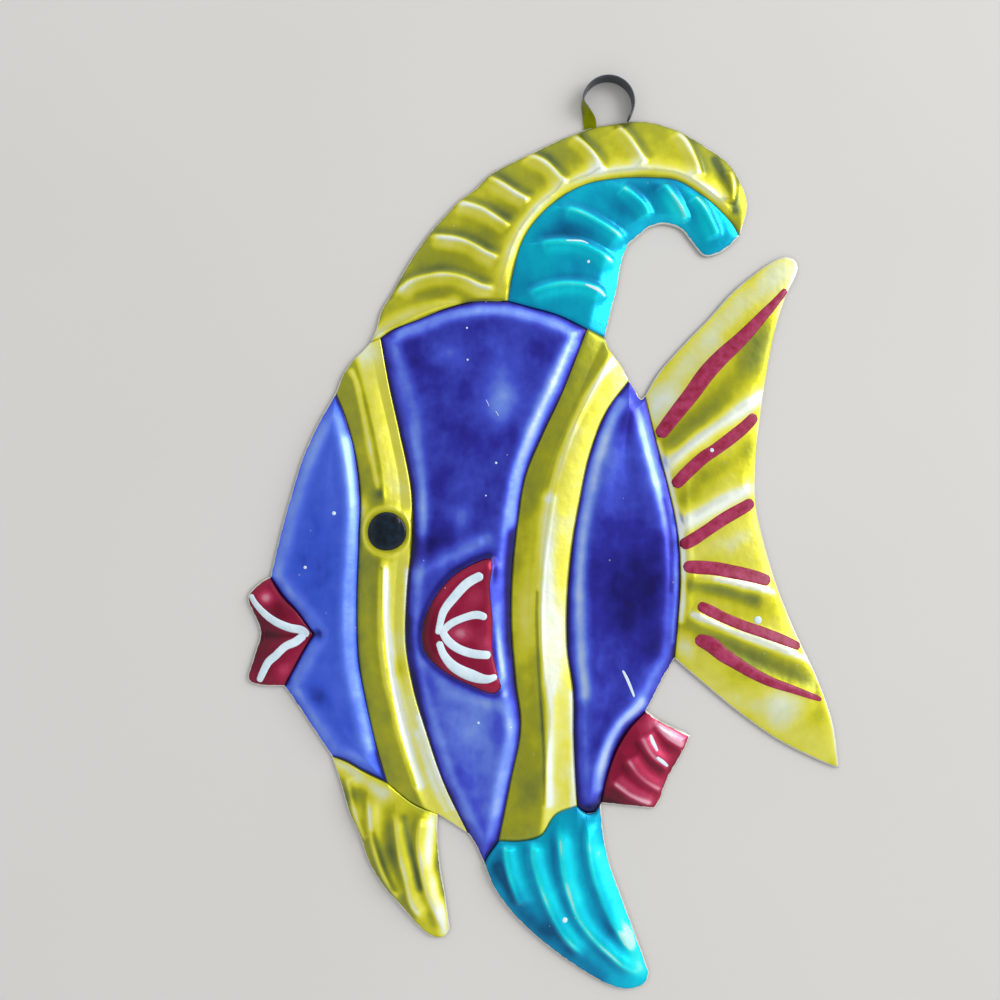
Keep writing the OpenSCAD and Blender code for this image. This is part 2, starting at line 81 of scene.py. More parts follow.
CREST_NOTCH = [9.2, 29.2, 0]
REAR_STRIPE_TOP = [6.5, 30.4, 0.9]
CREST_FOOT = [-5.3, 34.5, 1.2]
CREST_BEAK = [29.3, 44.4, 0]

# Segments of the solids along each kind of side. Every surface here uses a multiple of them.
LONG, CREST, SHOULDER, TAIL, ACROSS, FIN = 26, 36, 7, 16, 6, 10
# How many times finer the sheet is cut, and each coat, with the fields whose coats differ.
SHEET_FINER = 4
COAT_FINER = 8
FINER = {"lips": 14, "rear_fin": 14, "front_fin": 12, "anal_fin": 11, "tail": 12}

# Seams and cut edges as given points, each side with its segments. A point's third number is the
# seam's height.
SIDES = {
    "front_seam": (LONG, [NOSE_TOP, [-29.5, 17.1, 0.6], [-28, 11.7, 1], [-27.2, 5.2, 1.2],
        [-27.4, -1.8, 1.3], [-27.7, -10, 1.3], [-27.5, -18.3, 1.2], [-26.3, -25.5, 1],
        [-24.8, -32.1, 0.8], NOSE_FOOT]),
    "flank_seam": (LONG, [FLANK_CORNER, [-23, 21.8, 0.9], [-21.4, 14.8, 1.2], [-19.7, 6.5, 1.4],
        [-19.6, -1.1, 1.5], [-20.3, -8.5, 1.5], [-20.5, -16.1, 1.4], [-19.4, -22.9, 1.3],
        [-17.5, -29.5, 1.1], [-14.9, -37.2, 0.8], STRIPE_TIP]),
    "rear_seam": (LONG, [REAR_STRIPE_TOP, [2.8, 21.1, 1.2], [-0.2, 14.7, 1.4], [-2.8, 8.4, 1.5],
        [-4, 1.2, 1.6], [-4.7, -5.5, 1.6], [-4.9, -13, 1.6], [-4.3, -21.3, 1.5],
        [-3.5, -28.8, 1.3], [-5, -36.9, 1.1], REAR_STRIPE_FOOT]),
    "field_seam": (LONG, [REAR_SHOULDER, [9.1, 17.8, 0.8], [6.7, 11.5, 1.2], [5.3, 5, 1.4],
        [4.1, -1.9, 1.5], [3.4, -9.6, 1.5], [3.4, -16.8, 1.4], [4.3, -23.6, 1.3],
        [4.4, -30.8, 1.1], REAR_FIELD_FOOT]),
    "tail_seam": (TAIL, [TAIL_TOP, [16.7, 13.9, 0.5], [18.5, 6.9, 0.8], [19.9, 0, 0.9],
        [20.3, -6.9, 0.9], [20, -13, 0.6], TAIL_FOOT]),
    "rear_fin_seam": (8, [REAR_FIN_TOP, [12.8, -29.1, 0.3], [10.7, -32.5, 0.5],
        [9.2, -36.9, 0.4], ANAL_CORNER]),
    "lips_upper": (5, [LIPS_TOP, [-39.1, -9.2, 0.5], [-36.7, -11.7, 0.8], LIPS_CORNER]),
    "lips_lower": (5, [LIPS_CORNER, [-35.9, -17.7, 0.8], [-37.4, -20.4, 0.5], LIPS_BOTTOM]),
    "flank_top_left": (SHOULDER, [FLANK_CORNER, [-22.3, 30.4, 0.6], [-18.5, 31.8, 0.9],
        [-14.5, 33.4, 1.1], [-10, 34.5, 1.2], CREST_FOOT]),
    "flank_top_right": (4, [CREST_FOOT, [-2, 33.6, 1.2], [2.2, 32.4, 1.1], REAR_STRIPE_TOP]),
    "rear_stripe_crest": (1, [REAR_STRIPE_TOP, CREST_NOTCH]),
    "nose_fin_seam": (ACROSS, [THROAT_END, [-29.3, -34.2, 0.3], [-26.9, -35.5, 0.5], NOSE_FOOT]),
    "stripe_fin_seam": (4, [NOSE_FOOT, [-19.6, -40.2, 0.5], FIN_NOTCH]),
    "flank_fin_seam": (4, [FLANK_TIP, [-8.2, -48, 0.4], REAR_STRIPE_FOOT]),
    "rear_fin_side": (4, [REAR_STRIPE_FOOT, [-3.5, -45.8, 0.8], [-0.4, -44.9, 0.8],
        [1.7, -41.9, 0.8], REAR_FIELD_FOOT]),
    "field_fin_side": (ACROSS, [REAR_FIELD_FOOT, [6.2, -41.7, 0.5], [7.6, -41.7, 0.3],
        ANAL_CORNER]),
    "crest_inner": (CREST, [CREST_FOOT, [-4.9, 37.2, 1.3], [-4.3, 39.9, 1.3], [-3.7, 42.1, 1.3],
        [-2.8, 44.2, 1.3], [-1.6, 46, 1.3], [0.1, 47.9, 1.3], [1.9, 49.4, 1.3],
        [3.8, 50.7, 1.2], [6.2, 51.8, 1.2], [8.8, 52.4, 1.2], [12.4, 52.8, 1.1],
        [16.3, 52.8, 1.1], [19.9, 52.4, 1], [23.2, 50.5, 0.9], [25.4, 48.9, 0.7],
        [27.5, 46.8, 0.5], [28.6, 45.4, 0.3], CREST_BEAK]),
    "shoulder_seam": (1, [FLANK_CORNER, CREST_LEFT]),
    "shoulder_edge": (ACROSS - 1, [CREST_LEFT, [-27.1, 27.3], [-28.6, 25.8], [-30.1, 23.6],
        NOSE_TOP]),
    "nose_edge": (11, [NOSE_TOP, [-33.8, 16.3], [-36.1, 11.2], [-37.7, 6.1], [-39.1, 1.1],
        [-40.1, -3], LIPS_TOP]),
    "lips_edge": (10, [LIPS_TOP, [-42.2, -7.2], [-43.9, -8.8], [-44.2, -10.3], [-43.1, -12.6],
        [-42.4, -15], [-43.1, -17.6], [-43.7, -19.6], [-44.2, -21.9], [-42.2, -22.8],
        LIPS_BOTTOM]),
    "throat_edge": (5, [LIPS_BOTTOM, [-36.5, -26.2], [-34, -30], THROAT_END]),
    "front_fin_left": (FIN, [THROAT_END, [-30.5, -37], [-29.2, -41.5], [-27.5, -45.3],
        [-26.2, -49], [-24.2, -52.5], [-21.5, -55.4]]),
    "front_fin_end": (10, [[-21.5, -55.4], [-18.8, -58.6], [-16.7, -60.3], [-14.9, -60.4],
        [-14, -59.2]]),
    "front_fin_right": (FIN, [FIN_NOTCH, [-15.8, -45.8], [-15.4, -49.9], [-14.6, -54.6],
        [-14, -59.2]]),
    "stripe_edge": (2, [FIN_NOTCH, [-13.7, -43.4], STRIPE_TIP]),
    "flank_edge": (7, [STRIPE_TIP, [-10.1, -46.8], FLANK_TIP]),
    "anal_lower": (14, [FLANK_TIP, [-7.3, -53.2], [-4.6, -56.9], [-0.5, -60.8], [4, -64.2],
        [8.9, -67.2], [12, -68.2], [14.2, -67.9], [15.4, -67], [15.8, -65.7]]),
    "anal_right": (FIN, [ANAL_CORNER, [8.9, -44.2], [9.8, -49], [11.6, -54], [13.9, -60.3],
        [15, -63.3], [15.8, -65.7]]),
    "rear_fin_upper": (4, [REAR_FIN_TOP, [17.6, -28.1], [22, -30.3]]),
    "rear_fin_right": (8, [[22, -30.3], [20.5, -33.3], [18.5, -36.8], [17.5, -39.6],
        [16.6, -41.2]]),
    "rear_fin_foot": (4, [ANAL_CORNER, [12.7, -40.8], [16.6, -41.2]]),
    "below_tail_edge": (2, [TAIL_FOOT, [18.1, -21.3], [16.7, -24], REAR_FIN_TOP]),
    "tail_upper": (FIN, [TAIL_TOP, [17.3, 24.1], [21.2, 28.5], [24.7, 32.1], [28.1, 35.9],
        [31.7, 38.9], [34.4, 40.7], [36.2, 41.4]]),
    "tail_rear": (TAIL, [[36.2, 41.4], [37.4, 41], [38, 39.9], [37.7, 38.4], [36.3, 35.4],
        [34.7, 30.4], [33.5, 24.6],
        [32.5, 18.1], [31.8, 12.4], [31.7, 5.2], [32.8, -0.6], [34.9, -7.8], [37.7, -14.8],
        [40.9, -21.6], [43.3, -28.5], [44.2, -35.2]]),
    "tail_lower": (FIN, [TAIL_FOOT, [23.2, -21.9], [28.9, -26.6], [35, -30.9], [40.9, -33.9],
        [44.2, -35.2]]),
    "rear_field_top": (ACROSS, [REAR_SHOULDER, [13.6, 21.6], [14.5, 20.2], TAIL_TOP]),
    "rear_stripe_edge": (3, [CREST_NOTCH, [10.1, 27.3], [11.5, 25.3], REAR_SHOULDER]),
    "crest_end": (3, [CREST_LEFT, [-25.4, 29.5], [-25, 30.4]]),
    "crest_shoulder": (SHOULDER, [[-25, 30.4], [-24.4, 33.1], [-22.7, 36]]),
    "crest_outer": (CREST, [[-22.7, 36], [-19.9, 40.9], [-16.9, 45.1], [-14.6, 47.7],
        [-12.5, 49.9], [-10.4, 51.4], [-8, 53.7], [-5.3, 55.2], [-2.2, 56.7], [1.1, 58.3],
        [4.7, 59.8], [7.7, 60.8], [10.9, 61.3], [15.2, 61.6], [19.9, 60.3], [24.1, 57.9],
        [28, 54.9], [30.5, 49.5], CREST_BEAK]),
    "hook_edge": (CREST, [CREST_NOTCH, [10.4, 34], [11, 36.3], [11.3, 38.1], [11.6, 39.8],
        [11.9, 41.1], [12.4, 42.3], [12.8, 43.2], [13.6, 43.9], [14.3, 44.5], [15.2, 45.3],
        [16.1, 45.8], [18.1, 46.2], [20.5, 45.4], [22.1, 43.5], [23.9, 41.5], [25.9, 41.7],
        [27.7, 42.8], CREST_BEAK]),
}

# Each field's four sides, as chains of the sides above: left, right, top and foot. A minus
# turns a whole chain round, and an @ stands for a side that shrinks to its chain's first point.
FIELDS = {
    "nose": ("nose_edge lips_upper lips_lower throat_edge", "front_seam", "@nose_edge",
             "nose_fin_seam"),
    "lips": ("lips_edge", "lips_upper lips_lower", "@lips_edge", "@throat_edge"),
    "front_stripe": ("front_seam", "flank_seam", "-shoulder_seam shoulder_edge",
                     "stripe_fin_seam stripe_edge"),
    "flank": ("flank_seam", "rear_seam", "flank_top_left flank_top_right",
              "flank_edge flank_fin_seam"),
    "rear_stripe": ("rear_seam", "field_seam", "rear_stripe_crest rear_stripe_edge",
                    "rear_fin_side"),
    "rear_field": ("field_seam", "tail_seam below_tail_edge rear_fin_seam", "rear_field_top",
                   "field_fin_side"),
    "crest_yellow": ("flank_top_left crest_inner", "crest_shoulder crest_outer",
                     "shoulder_seam crest_end", "@-crest_outer"),
    "crest_turquoise": ("hook_edge", "crest_inner", "-flank_top_right rear_stripe_crest",
                        "@-crest_inner"),
    "front_fin": ("front_fin_left", "front_fin_right", "nose_fin_seam stripe_fin_seam",
                  "front_fin_end"),
    "anal_fin": ("@flank_fin_seam", "anal_right",
                 "flank_fin_seam rear_fin_side field_fin_side", "anal_lower"),
    "rear_fin": ("rear_fin_seam", "rear_fin_right", "rear_fin_upper", "rear_fin_foot"),
    "tail": ("tail_seam", "tail_rear", "tail_upper", "tail_lower"),
}


# Surfaces: curves, fields between four curves, and what is raised out of them.
def cubic(a, b, c, d, share):
    """A place between b and c, at a share of the way, on the cubic whose slope at each of the two
    is half the chord between that point's neighbours."""
    bend = 2 * a - 5 * b + 4 * c - d + share * (3 * b - 3 * c + d - a)
    return b + 0.5 * share * (c - a + share * bend)


def curve(points, pieces):
    """Points along a smooth open curve of such cubics through the given points."""
    p = np.array([list(q) + [0] * (3 - len(q)) for q in points], float)
    p = np.vstack([2 * p[0] - p[1], p, 2 * p[-1] - p[-2]])
    t = np.linspace(0, len(points) - 1, pieces + 1)
    k = np.minimum(t.astype(int), len(points) - 2)
    return cubic(p[k], p[k + 1], p[k + 2], p[k + 3], (t - k)[:, None])


def closed_curve(points, pieces):
    """Points along a smooth closed curve of such cubics, with each gap cut into pieces."""
    p = np.array(points, float)
    t = np.arange(len(p) * pieces) / pieces
    k = t.astype(int)
    return cubic(*(p[(k + n) % len(p)] for n in (-1, 0, 1, 2)), (t - k)[:, None])


def chain(names, finer):
    """The named sides joined end to end, each cut into its segments times the given number, and
    turned round as a whole where a minus comes first."""
    rows = [curve(SIDES[n][1], SIDES[n][0] * finer) for n in names.strip("-").split()]
    line = np.vstack([rows[0]] + [row[1:] for row in rows[1:]])
    return line[::-1] if names[0] == "-" else line


def side_of(names, finer, count):
    """A field's side: a chain, or one corner repeated where the side shrinks to a point."""
    if names[0] != "@":
        return chain(names, finer)
    corner = chain(names[1:], 1)[0]
    return np.repeat(corner[None], count, axis=0)


def between(left, right, top, foot):
    """The surface spanned by four curves: the blend of left and right plus the blend of top and
    foot, less the blend of the four corners."""
    u = np.linspace(0, 1, len(left))[:, None, None]
    v = np.linspace(0, 1, len(top))[None, :, None]
    sides = (1 - v) * left[:, None] + v * right[:, None]
    ends = (1 - u) * top[None] + u * foot[None]
    corners = ((1 - u) * ((1 - v) * top[0] + v * top[-1])
               + u * ((1 - v) * foot[0] + v * foot[-1]))
    grid = sides + ends - corners
    grid[0], grid[-1], grid[:, 0], grid[:, -1] = top, foot, left, right
    return grid


def flat_field(name, finer):
    """A field's grid before it is embossed."""
    left, right, top, foot = FIELDS[name]
    rows = len(chain(right if left[0] == "@" else left, finer))
    ends = [side for side in (top, foot) if side[0] != "@"]
    columns = len(chain(ends[0], finer)) if ends else 4 * finer + 1
    return between(side_of(left, finer, rows), side_of(right, finer, rows),
                   side_of(top, finer, columns), side_of(foot, finer, columns))


def nearest(line, x, y):
    """Where an open line comes nearest to each point in plan: how far that is, which side of the
    line the point is on (1 left of its run, -1 right) and the share of its pieces behind it."""
    best, side, share = np.full(np.shape(x), 1e9), np.zeros(np.shape(x)), np.zeros(np.shape(x))
    count = len(line) - 1
    for k, ((ax, ay), (bx, by)) in enumerate(zip(line[:-1, :2], line[1:, :2])):
        dx, dy = bx - ax, by - ay
        t = np.clip(((x - ax) * dx + (y - ay) * dy) / max(dx * dx + dy * dy, 1e-9), 0, 1)
        gap = np.hypot(x - ax - t * dx, y - ay - t * dy)
        near = gap < best
        best = np.where(near, gap, best)
        side = np.where(near, np.sign(dx * (y - ay) - dy * (x - ax)), side)
        share = np.where(near, (k + t) / count, share)
    return best, side, share


def distance(line, x, y):
    """Shortest distance in plan from each point to an open line."""
    return nearest(line, x, y)[0]


def inside(line, x, y):
    """Whether each point lies inside a closed outline: a ray from it crosses it an odd number
    of times."""
    odd = np.zeros(np.shape(x), bool)
    for (ax, ay), (bx, by) in zip(line[:, :2], np.roll(line[:, :2], -1, axis=0)):
        if ay != by:
            odd ^= ((ay > y) != (by > y)) & (x < ax + (y - ay) * (bx - ax) / (by - ay))
    return odd


def smooth(t):
    """0 below 0, 1 above 1 and an S-shaped cubic between."""
    s = np.clip(t, 0, 1)
    return s * s * (3 - 2 * s)


def bump(d, width):
    """A bell over distance d: e to the power of minus the square of d over the width."""
    return np.exp(-(d / width) ** 2)


def unevenness(x, y, size):
    """A slow irregular change between 0 and 1: four crossed sine waves of unlike lengths."""
    waves = sum(np.sin((x * math.cos(a) + y * math.sin(a)) * f / size + a * 5)
                for a, f in ((0.3, 2.1), (1.4, 3.3), (2.3, 2.7), (2.9, 4.1)))
    return 0.5 + waves / 8


def pillow(u, v, ends, sides):
    """A crowned height: a power of the half sine along the field times one across it."""
    return (np.sin(np.pi * u) ** ends) * (np.sin(np.pi * v) ** sides)


def ribs(x, y, lines, width, steep):
    """Ridges along some lines that a tool has pressed, and the tone they give the lacquer.

    A ridge is a bell whose steep side is narrow and whose other side is broad, fading out at both
    ends of its line. Its tone paints a highlight on its crest and a lighter broad side, and
    painted shade at the foot of its steep side, partly standing for a coat that runs thin on the
    crest and pools at the foot. The steep side is the left (1), the right (-1) or neither (0)."""
    tall, tone = np.zeros(np.shape(x)), np.zeros(np.shape(x))
    for line in lines:
        gap, side, share = nearest(curve(line, 4 * (len(line) - 1)), x, y)
        away = gap * side * (steep or 1)
        ends = smooth(0.3 + share / 0.12) * smooth(0.15 + (1 - share) / 0.16)
        broad = np.where(away > 0, 0.6, 1.3) if steep else 1.0
        tall = np.maximum(tall, ends * bump(away, width * broad))
        # Painted highlight on the crest; below, painted shade at the foot of the steep side and a
        # lighter broad side.
        tone -= 0.5 * ends * bump(away, 0.4 if steep else 0.6 * width)
        if steep:
            tone += ends * (0.2 * bump(away - 0.95, 0.7) - 0.24 * bump(away + 1, 0.9))
    return tall, tone


# Lines that a blunt tool has drawn into the sheet, as points in millimetres.
CREST_RIBS = [
    [[-22, 35.7], [-19.9, 37.4], [-17.2, 38.2], [-14.5, 38.4], [-11.8, 37.8], [-9.2, 36.6],
     [-7, 36.3]],
    [[-17, 44.3], [-13.3, 43.8], [-11, 43], [-8.8, 41.7], [-6.5, 40.6]],
    [[-13, 49.5], [-9.5, 48.3], [-7.3, 46.9], [-4.9, 45.3]],
    [[-8.5, 53.3], [-6.1, 51.8], [-4.1, 50.4], [-2, 49.2]],
    [[-2.8, 56.8], [0.1, 55.2], [2, 53.2], [3.4, 51.8]],
    [[4.4, 59.4], [6.7, 57.1], [8, 55.2], [8.6, 53.5]],
    [[11, 60.9], [12.8, 58.6], [14, 56.7], [15.2, 54.8]],
    [[20, 60.1], [21.4, 57.9], [22.6, 55.2], [23.2, 52.9]],
    [[28.1, 54.1], [28.3, 51.4], [28, 49]]]
CREST_RIDGE = [
    [[-6.5, 36.1], [-6.1, 38.2], [-5.3, 41.2], [-4.1, 43.9], [-2.5, 46.6], [-0.4, 49],
     [2.2, 51.1], [5.2, 52.8], [8.9, 53.7], [13, 54.1], [16.7, 54.1], [20.2, 53.4],
     [23.3, 51.8], [25.9, 49.8], [28, 47.5]]]
HOOK_RIBS = [
    [[-0.5, 43], [2.5, 43.2], [5.5, 42.8], [8.5, 41.5], [10.9, 39.9]],
    [[-2.3, 35.5], [0.2, 36.4], [2.8, 37], [5.5, 36.9], [7.9, 36.3], [9.4, 34.9]],
    [[3.2, 48.1], [5.5, 47.5], [8, 46.2], [10.3, 44.9], [12.2, 43.5]],
    [[11.5, 51.4], [13.3, 50.1], [14.8, 48.6], [15.8, 46.8]],
    [[17.6, 51.9], [19.3, 49.9], [20.5, 48.1], [21.2, 46.2]],
    [[22.4, 50.2], [23.9, 48.3], [25.1, 46], [26, 43.9]]]
FRONT_RIDGE = [
    [[-29, 25.1], [-27.8, 21.8], [-27.1, 18.9], [-26, 14.8], [-25.3, 12], [-24.7, 9],
     [-24.1, 6], [-23.9, 4.5]],
    [[-23.6, -4.3], [-23.9, -10], [-23.9, -15.8], [-23.3, -21], [-22.6, -24.9],
     [-21.8, -28.6], [-20.5, -33.3], [-19.4, -36.8], [-18.4, -39.8], [-17.2, -41.9]]]
REAR_RIDGE = [
    [[10.4, 25.5], [8.9, 24], [7.6, 21.8], [6.1, 19.3], [4.7, 16.8], [3.4, 14.2], [2.5, 12.2],
     [1.7, 9.9], [1.1, 7.2], [0.7, 4.3], [0.2, 1.2], [-0.2, -2.2], [-0.5, -5.4],
     [-0.7, -8.2], [-0.7, -13], [-0.5, -19.3], [-0.4, -22.8], [0.1, -25.9], [0.2, -30.6],
     [0.2, -35.2], [0.4, -39.6], [0.1, -42.3]]]
FRONT_FIN_RIBS = [
    [[-18.2, -42.4], [-18.7, -45.6], [-18.2, -49.4], [-17.5, -52.9], [-16.3, -55.9],
     [-14.9, -58.9]],
    [[-22, -41.9], [-21.4, -47.5], [-20.5, -51.3], [-19.7, -54.8], [-18.2, -57.4]],
    [[-26, -39.3], [-25.6, -44.9], [-24.4, -49.4], [-22.9, -52.5], [-21.5, -54.6]],
    [[-29.3, -36.3], [-28, -41.9], [-26.6, -46]]]
ANAL_RIBS = [
    [[-5.8, -46.4], [-5.5, -48.8], [-5, -51], [-4.1, -53.5], [-3.4, -55.5]],
    [[-1.7, -45.8], [-1.6, -48.3], [-0.8, -51.4], [0.2, -54.3], [1.3, -56.7], [2.6, -59.1],
     [4.1, -61], [5.9, -62.8]],
    [[2.2, -43.6], [2.5, -47.5], [2.9, -50.5], [3.7, -53.5], [4.6, -56.1], [5.9, -58.3],
     [8, -60.8], [10.1, -62.8], [12.1, -64.5], [14.5, -65.8]],
    [[6.4, -43], [6.7, -47.5], [7.3, -50.5], [8.2, -53.1], [9.2, -55.8], [10.3, -58],
     [11.8, -60.3], [13.4, -62.4]]]
REAR_FIN_RIBS = [
    [[16.9, -28.3], [18.7, -30.4], [21.1, -31.9]],
    [[14.5, -30.3], [16, -32.9], [18.7, -35.2]],
    [[12.4, -33.6], [14.5, -36.3], [17.8, -38.5]],
    [[10.3, -37], [13, -39], [16.3, -40.5]]]
TAIL_RIBS = [
    [[17.2, 9.9], [20.5, 12.4], [23.5, 14.7], [28, 17.7], [32.8, 20.8]],
    [[20.3, 1.8], [23.5, 3.4], [27.2, 5.4], [31.4, 7.2]],
    [[21.1, -6.6], [25.2, -6.8], [29, -7.6], [34.3, -8.8]],
    [[21.6, -12], [27, -14.4], [32.5, -16], [38.9, -18.7]]]
TAIL_FOLD = [[[23.6, -16.5], [29, -19.8], [33.5, -22.2], [38.2, -24.1], [41, -25]]]
TAIL_ROOT = [[[20.9, 9.4], [20.9, 5], [21.2, -1.1], [21.4, -7], [21.1, -13]]]
SIDE_FIN = [[-8.6, -3.6], [-7.6, -4.5], [-8, -7.9], [-7.6, -12.5], [-7.6, -17.1], [-6.8, -20.8],
            [-6.4, -22.6], [-7.9, -23.5], [-11.3, -22.1], [-14.8, -20.2], [-17.6, -17.3],
            [-17.8, -13.3], [-16.1, -9.3], [-13, -5.8]]
FIN_RIDGE = [
    [[-7.4, -4], [-7.9, -7], [-7.4, -10], [-6.7, -13.3], [-6.7, -17.6], [-6.2, -21.3],
     [-5.9, -23.6]],
    [[-18.8, -5.2], [-15.5, -3.4], [-11.8, -1.9], [-8.6, -1.1]]]
LIP_CLEFT = [[[-42.2, -15.1], [-39.5, -15.3], [-36.5, -15.1], [-34.6, -15]]]
# The eye's middle, its enamel's radius and height, and the radii of the collar and mound that
# are pressed round it.
EYE = (-23.2, 0.3)
EYE_R = 2.85
EYE_RISE = 0.42
COLLAR_R = 3.5
MOUND_R = 5.1
# Dimples at two corners of the blue fields: place, two radii and strength.
DIMPLES = [(-33.4, -15.1, 0.9, 0.9, 1), (7, -40.9, 1.3, 1.3, 1)]


def into(line, x, y):
    """How deep each point lies inside a closed outline, less than 0 outside it."""
    deep = distance(np.vstack([line, line[:1]]), x, y)
    return np.where(inside(line, x, y), deep, -deep)


FIN_OUTLINE = closed_curve(SIDE_FIN, 6)


def border(name):
    """A field's own sides in one closed line."""
    left, right, top, foot = FIELDS[name]
    run = [side_of(s, 3, 1) for s in (top, right, foot, left)]
    return np.vstack([run[0], run[1], run[2][::-1], run[3][::-1]])


def cut_lines(name):
    """The stretches of a field's sides that are cut edges of the sheet."""
    sides = " ".join(s for s in FIELDS[name] if s[0] != "@").replace("-", "").split()
    return [curve(SIDES[s][1], SIDES[s][0] * 3) for s in sides
            if all(len(q) < 3 or q[2] == 0 for q in SIDES[s][1])]


def clouds(x, y, patches):
    """The sum of soft patches, each a bell with its own place, two radii and strength."""
    return sum(s * np.exp(-((x - px) / rx) ** 2 - ((y - py) / ry) ** 2)
               for px, py, rx, ry, s in patches)


# How each field is pressed: the crown's height and its powers along and across, then the lines
# pressed up (or down, with a minus), each with its height, half width, steep side and how
# strongly it changes the lacquer's tone.
PRESSED = {
    "nose": (1.66, 0.5, 0.6, []),
    "lips": (0.8, 0.5, 0.6, [(LIP_CLEFT, -0.5, 1, 0, -0.4)]),
    "front_stripe": (0.6, 0.3, 0.6, [(FRONT_RIDGE, 0.2, 0.5, 0, 0)]),
    "flank": (1.66, 0.5, 0.55, [(FIN_RIDGE, 0.7, 1.1, 0, 0)]),
    "rear_stripe": (0.6, 0.3, 0.6, [(REAR_RIDGE, 0.2, 0.5, 0, 0)]),
    "rear_field": (1.33, 0.5, 0.6, []),
    "crest_yellow": (0.48, 0.1, 0.5, [(CREST_RIBS, 0.55, 1, 1, 1.35),
                                     (CREST_RIDGE, 0.45, 1.1, 0, 0.6)]),
    "crest_turquoise": (0.42, 0.35, 0.8, [(HOOK_RIBS, 0.5, 1.1, 1, 1)]),
    "front_fin": (0.8, 0.4, 0.4, [(FRONT_FIN_RIBS, 0.55, 1, -1, 0.85)]),
    "anal_fin": (0.8, 0.4, 0.4, [(ANAL_RIBS, 0.6, 1.1, -1, 1)]),
    "rear_fin": (0.8, 0.4, 0.4, [(REAR_FIN_RIBS, 0.4, 1.1, -1, 1)]),
    "tail": (0.8, 0.4, 0.5, [(TAIL_RIBS, 0.6, 1.4, 0, 0.8), (TAIL_FOLD, 0.5, 1.6, 0, 0.2),
                             (TAIL_ROOT, 0.15, 0.8, 0, 0)]),
}

# Heights in millimetres: the ridge of a stripe, the boss of the side fin, the round shoulder of
# a blue field and the dish inside it, a dimple, and the eye's mound and collar.
STRIPE_RISE = 0.6
FIN_BOSS = 0.86
FIELD_SHOULDER = 0.8
FIELD_DISH = 0.3
DIMPLE_DEPTH = 0.55
EYE_MOUND = 1.02
EYE_COLLAR = 0.16
# The share of its crown that a blue field keeps, and the width in millimetres inside a seam
# over which pressed lines reach their full height.
CROWN_KEPT = 0.45
SEAM_FADE = 1.1
BLUE = ("nose", "flank", "rear_field")
STRIPES = ("front_stripe", "rear_stripe")
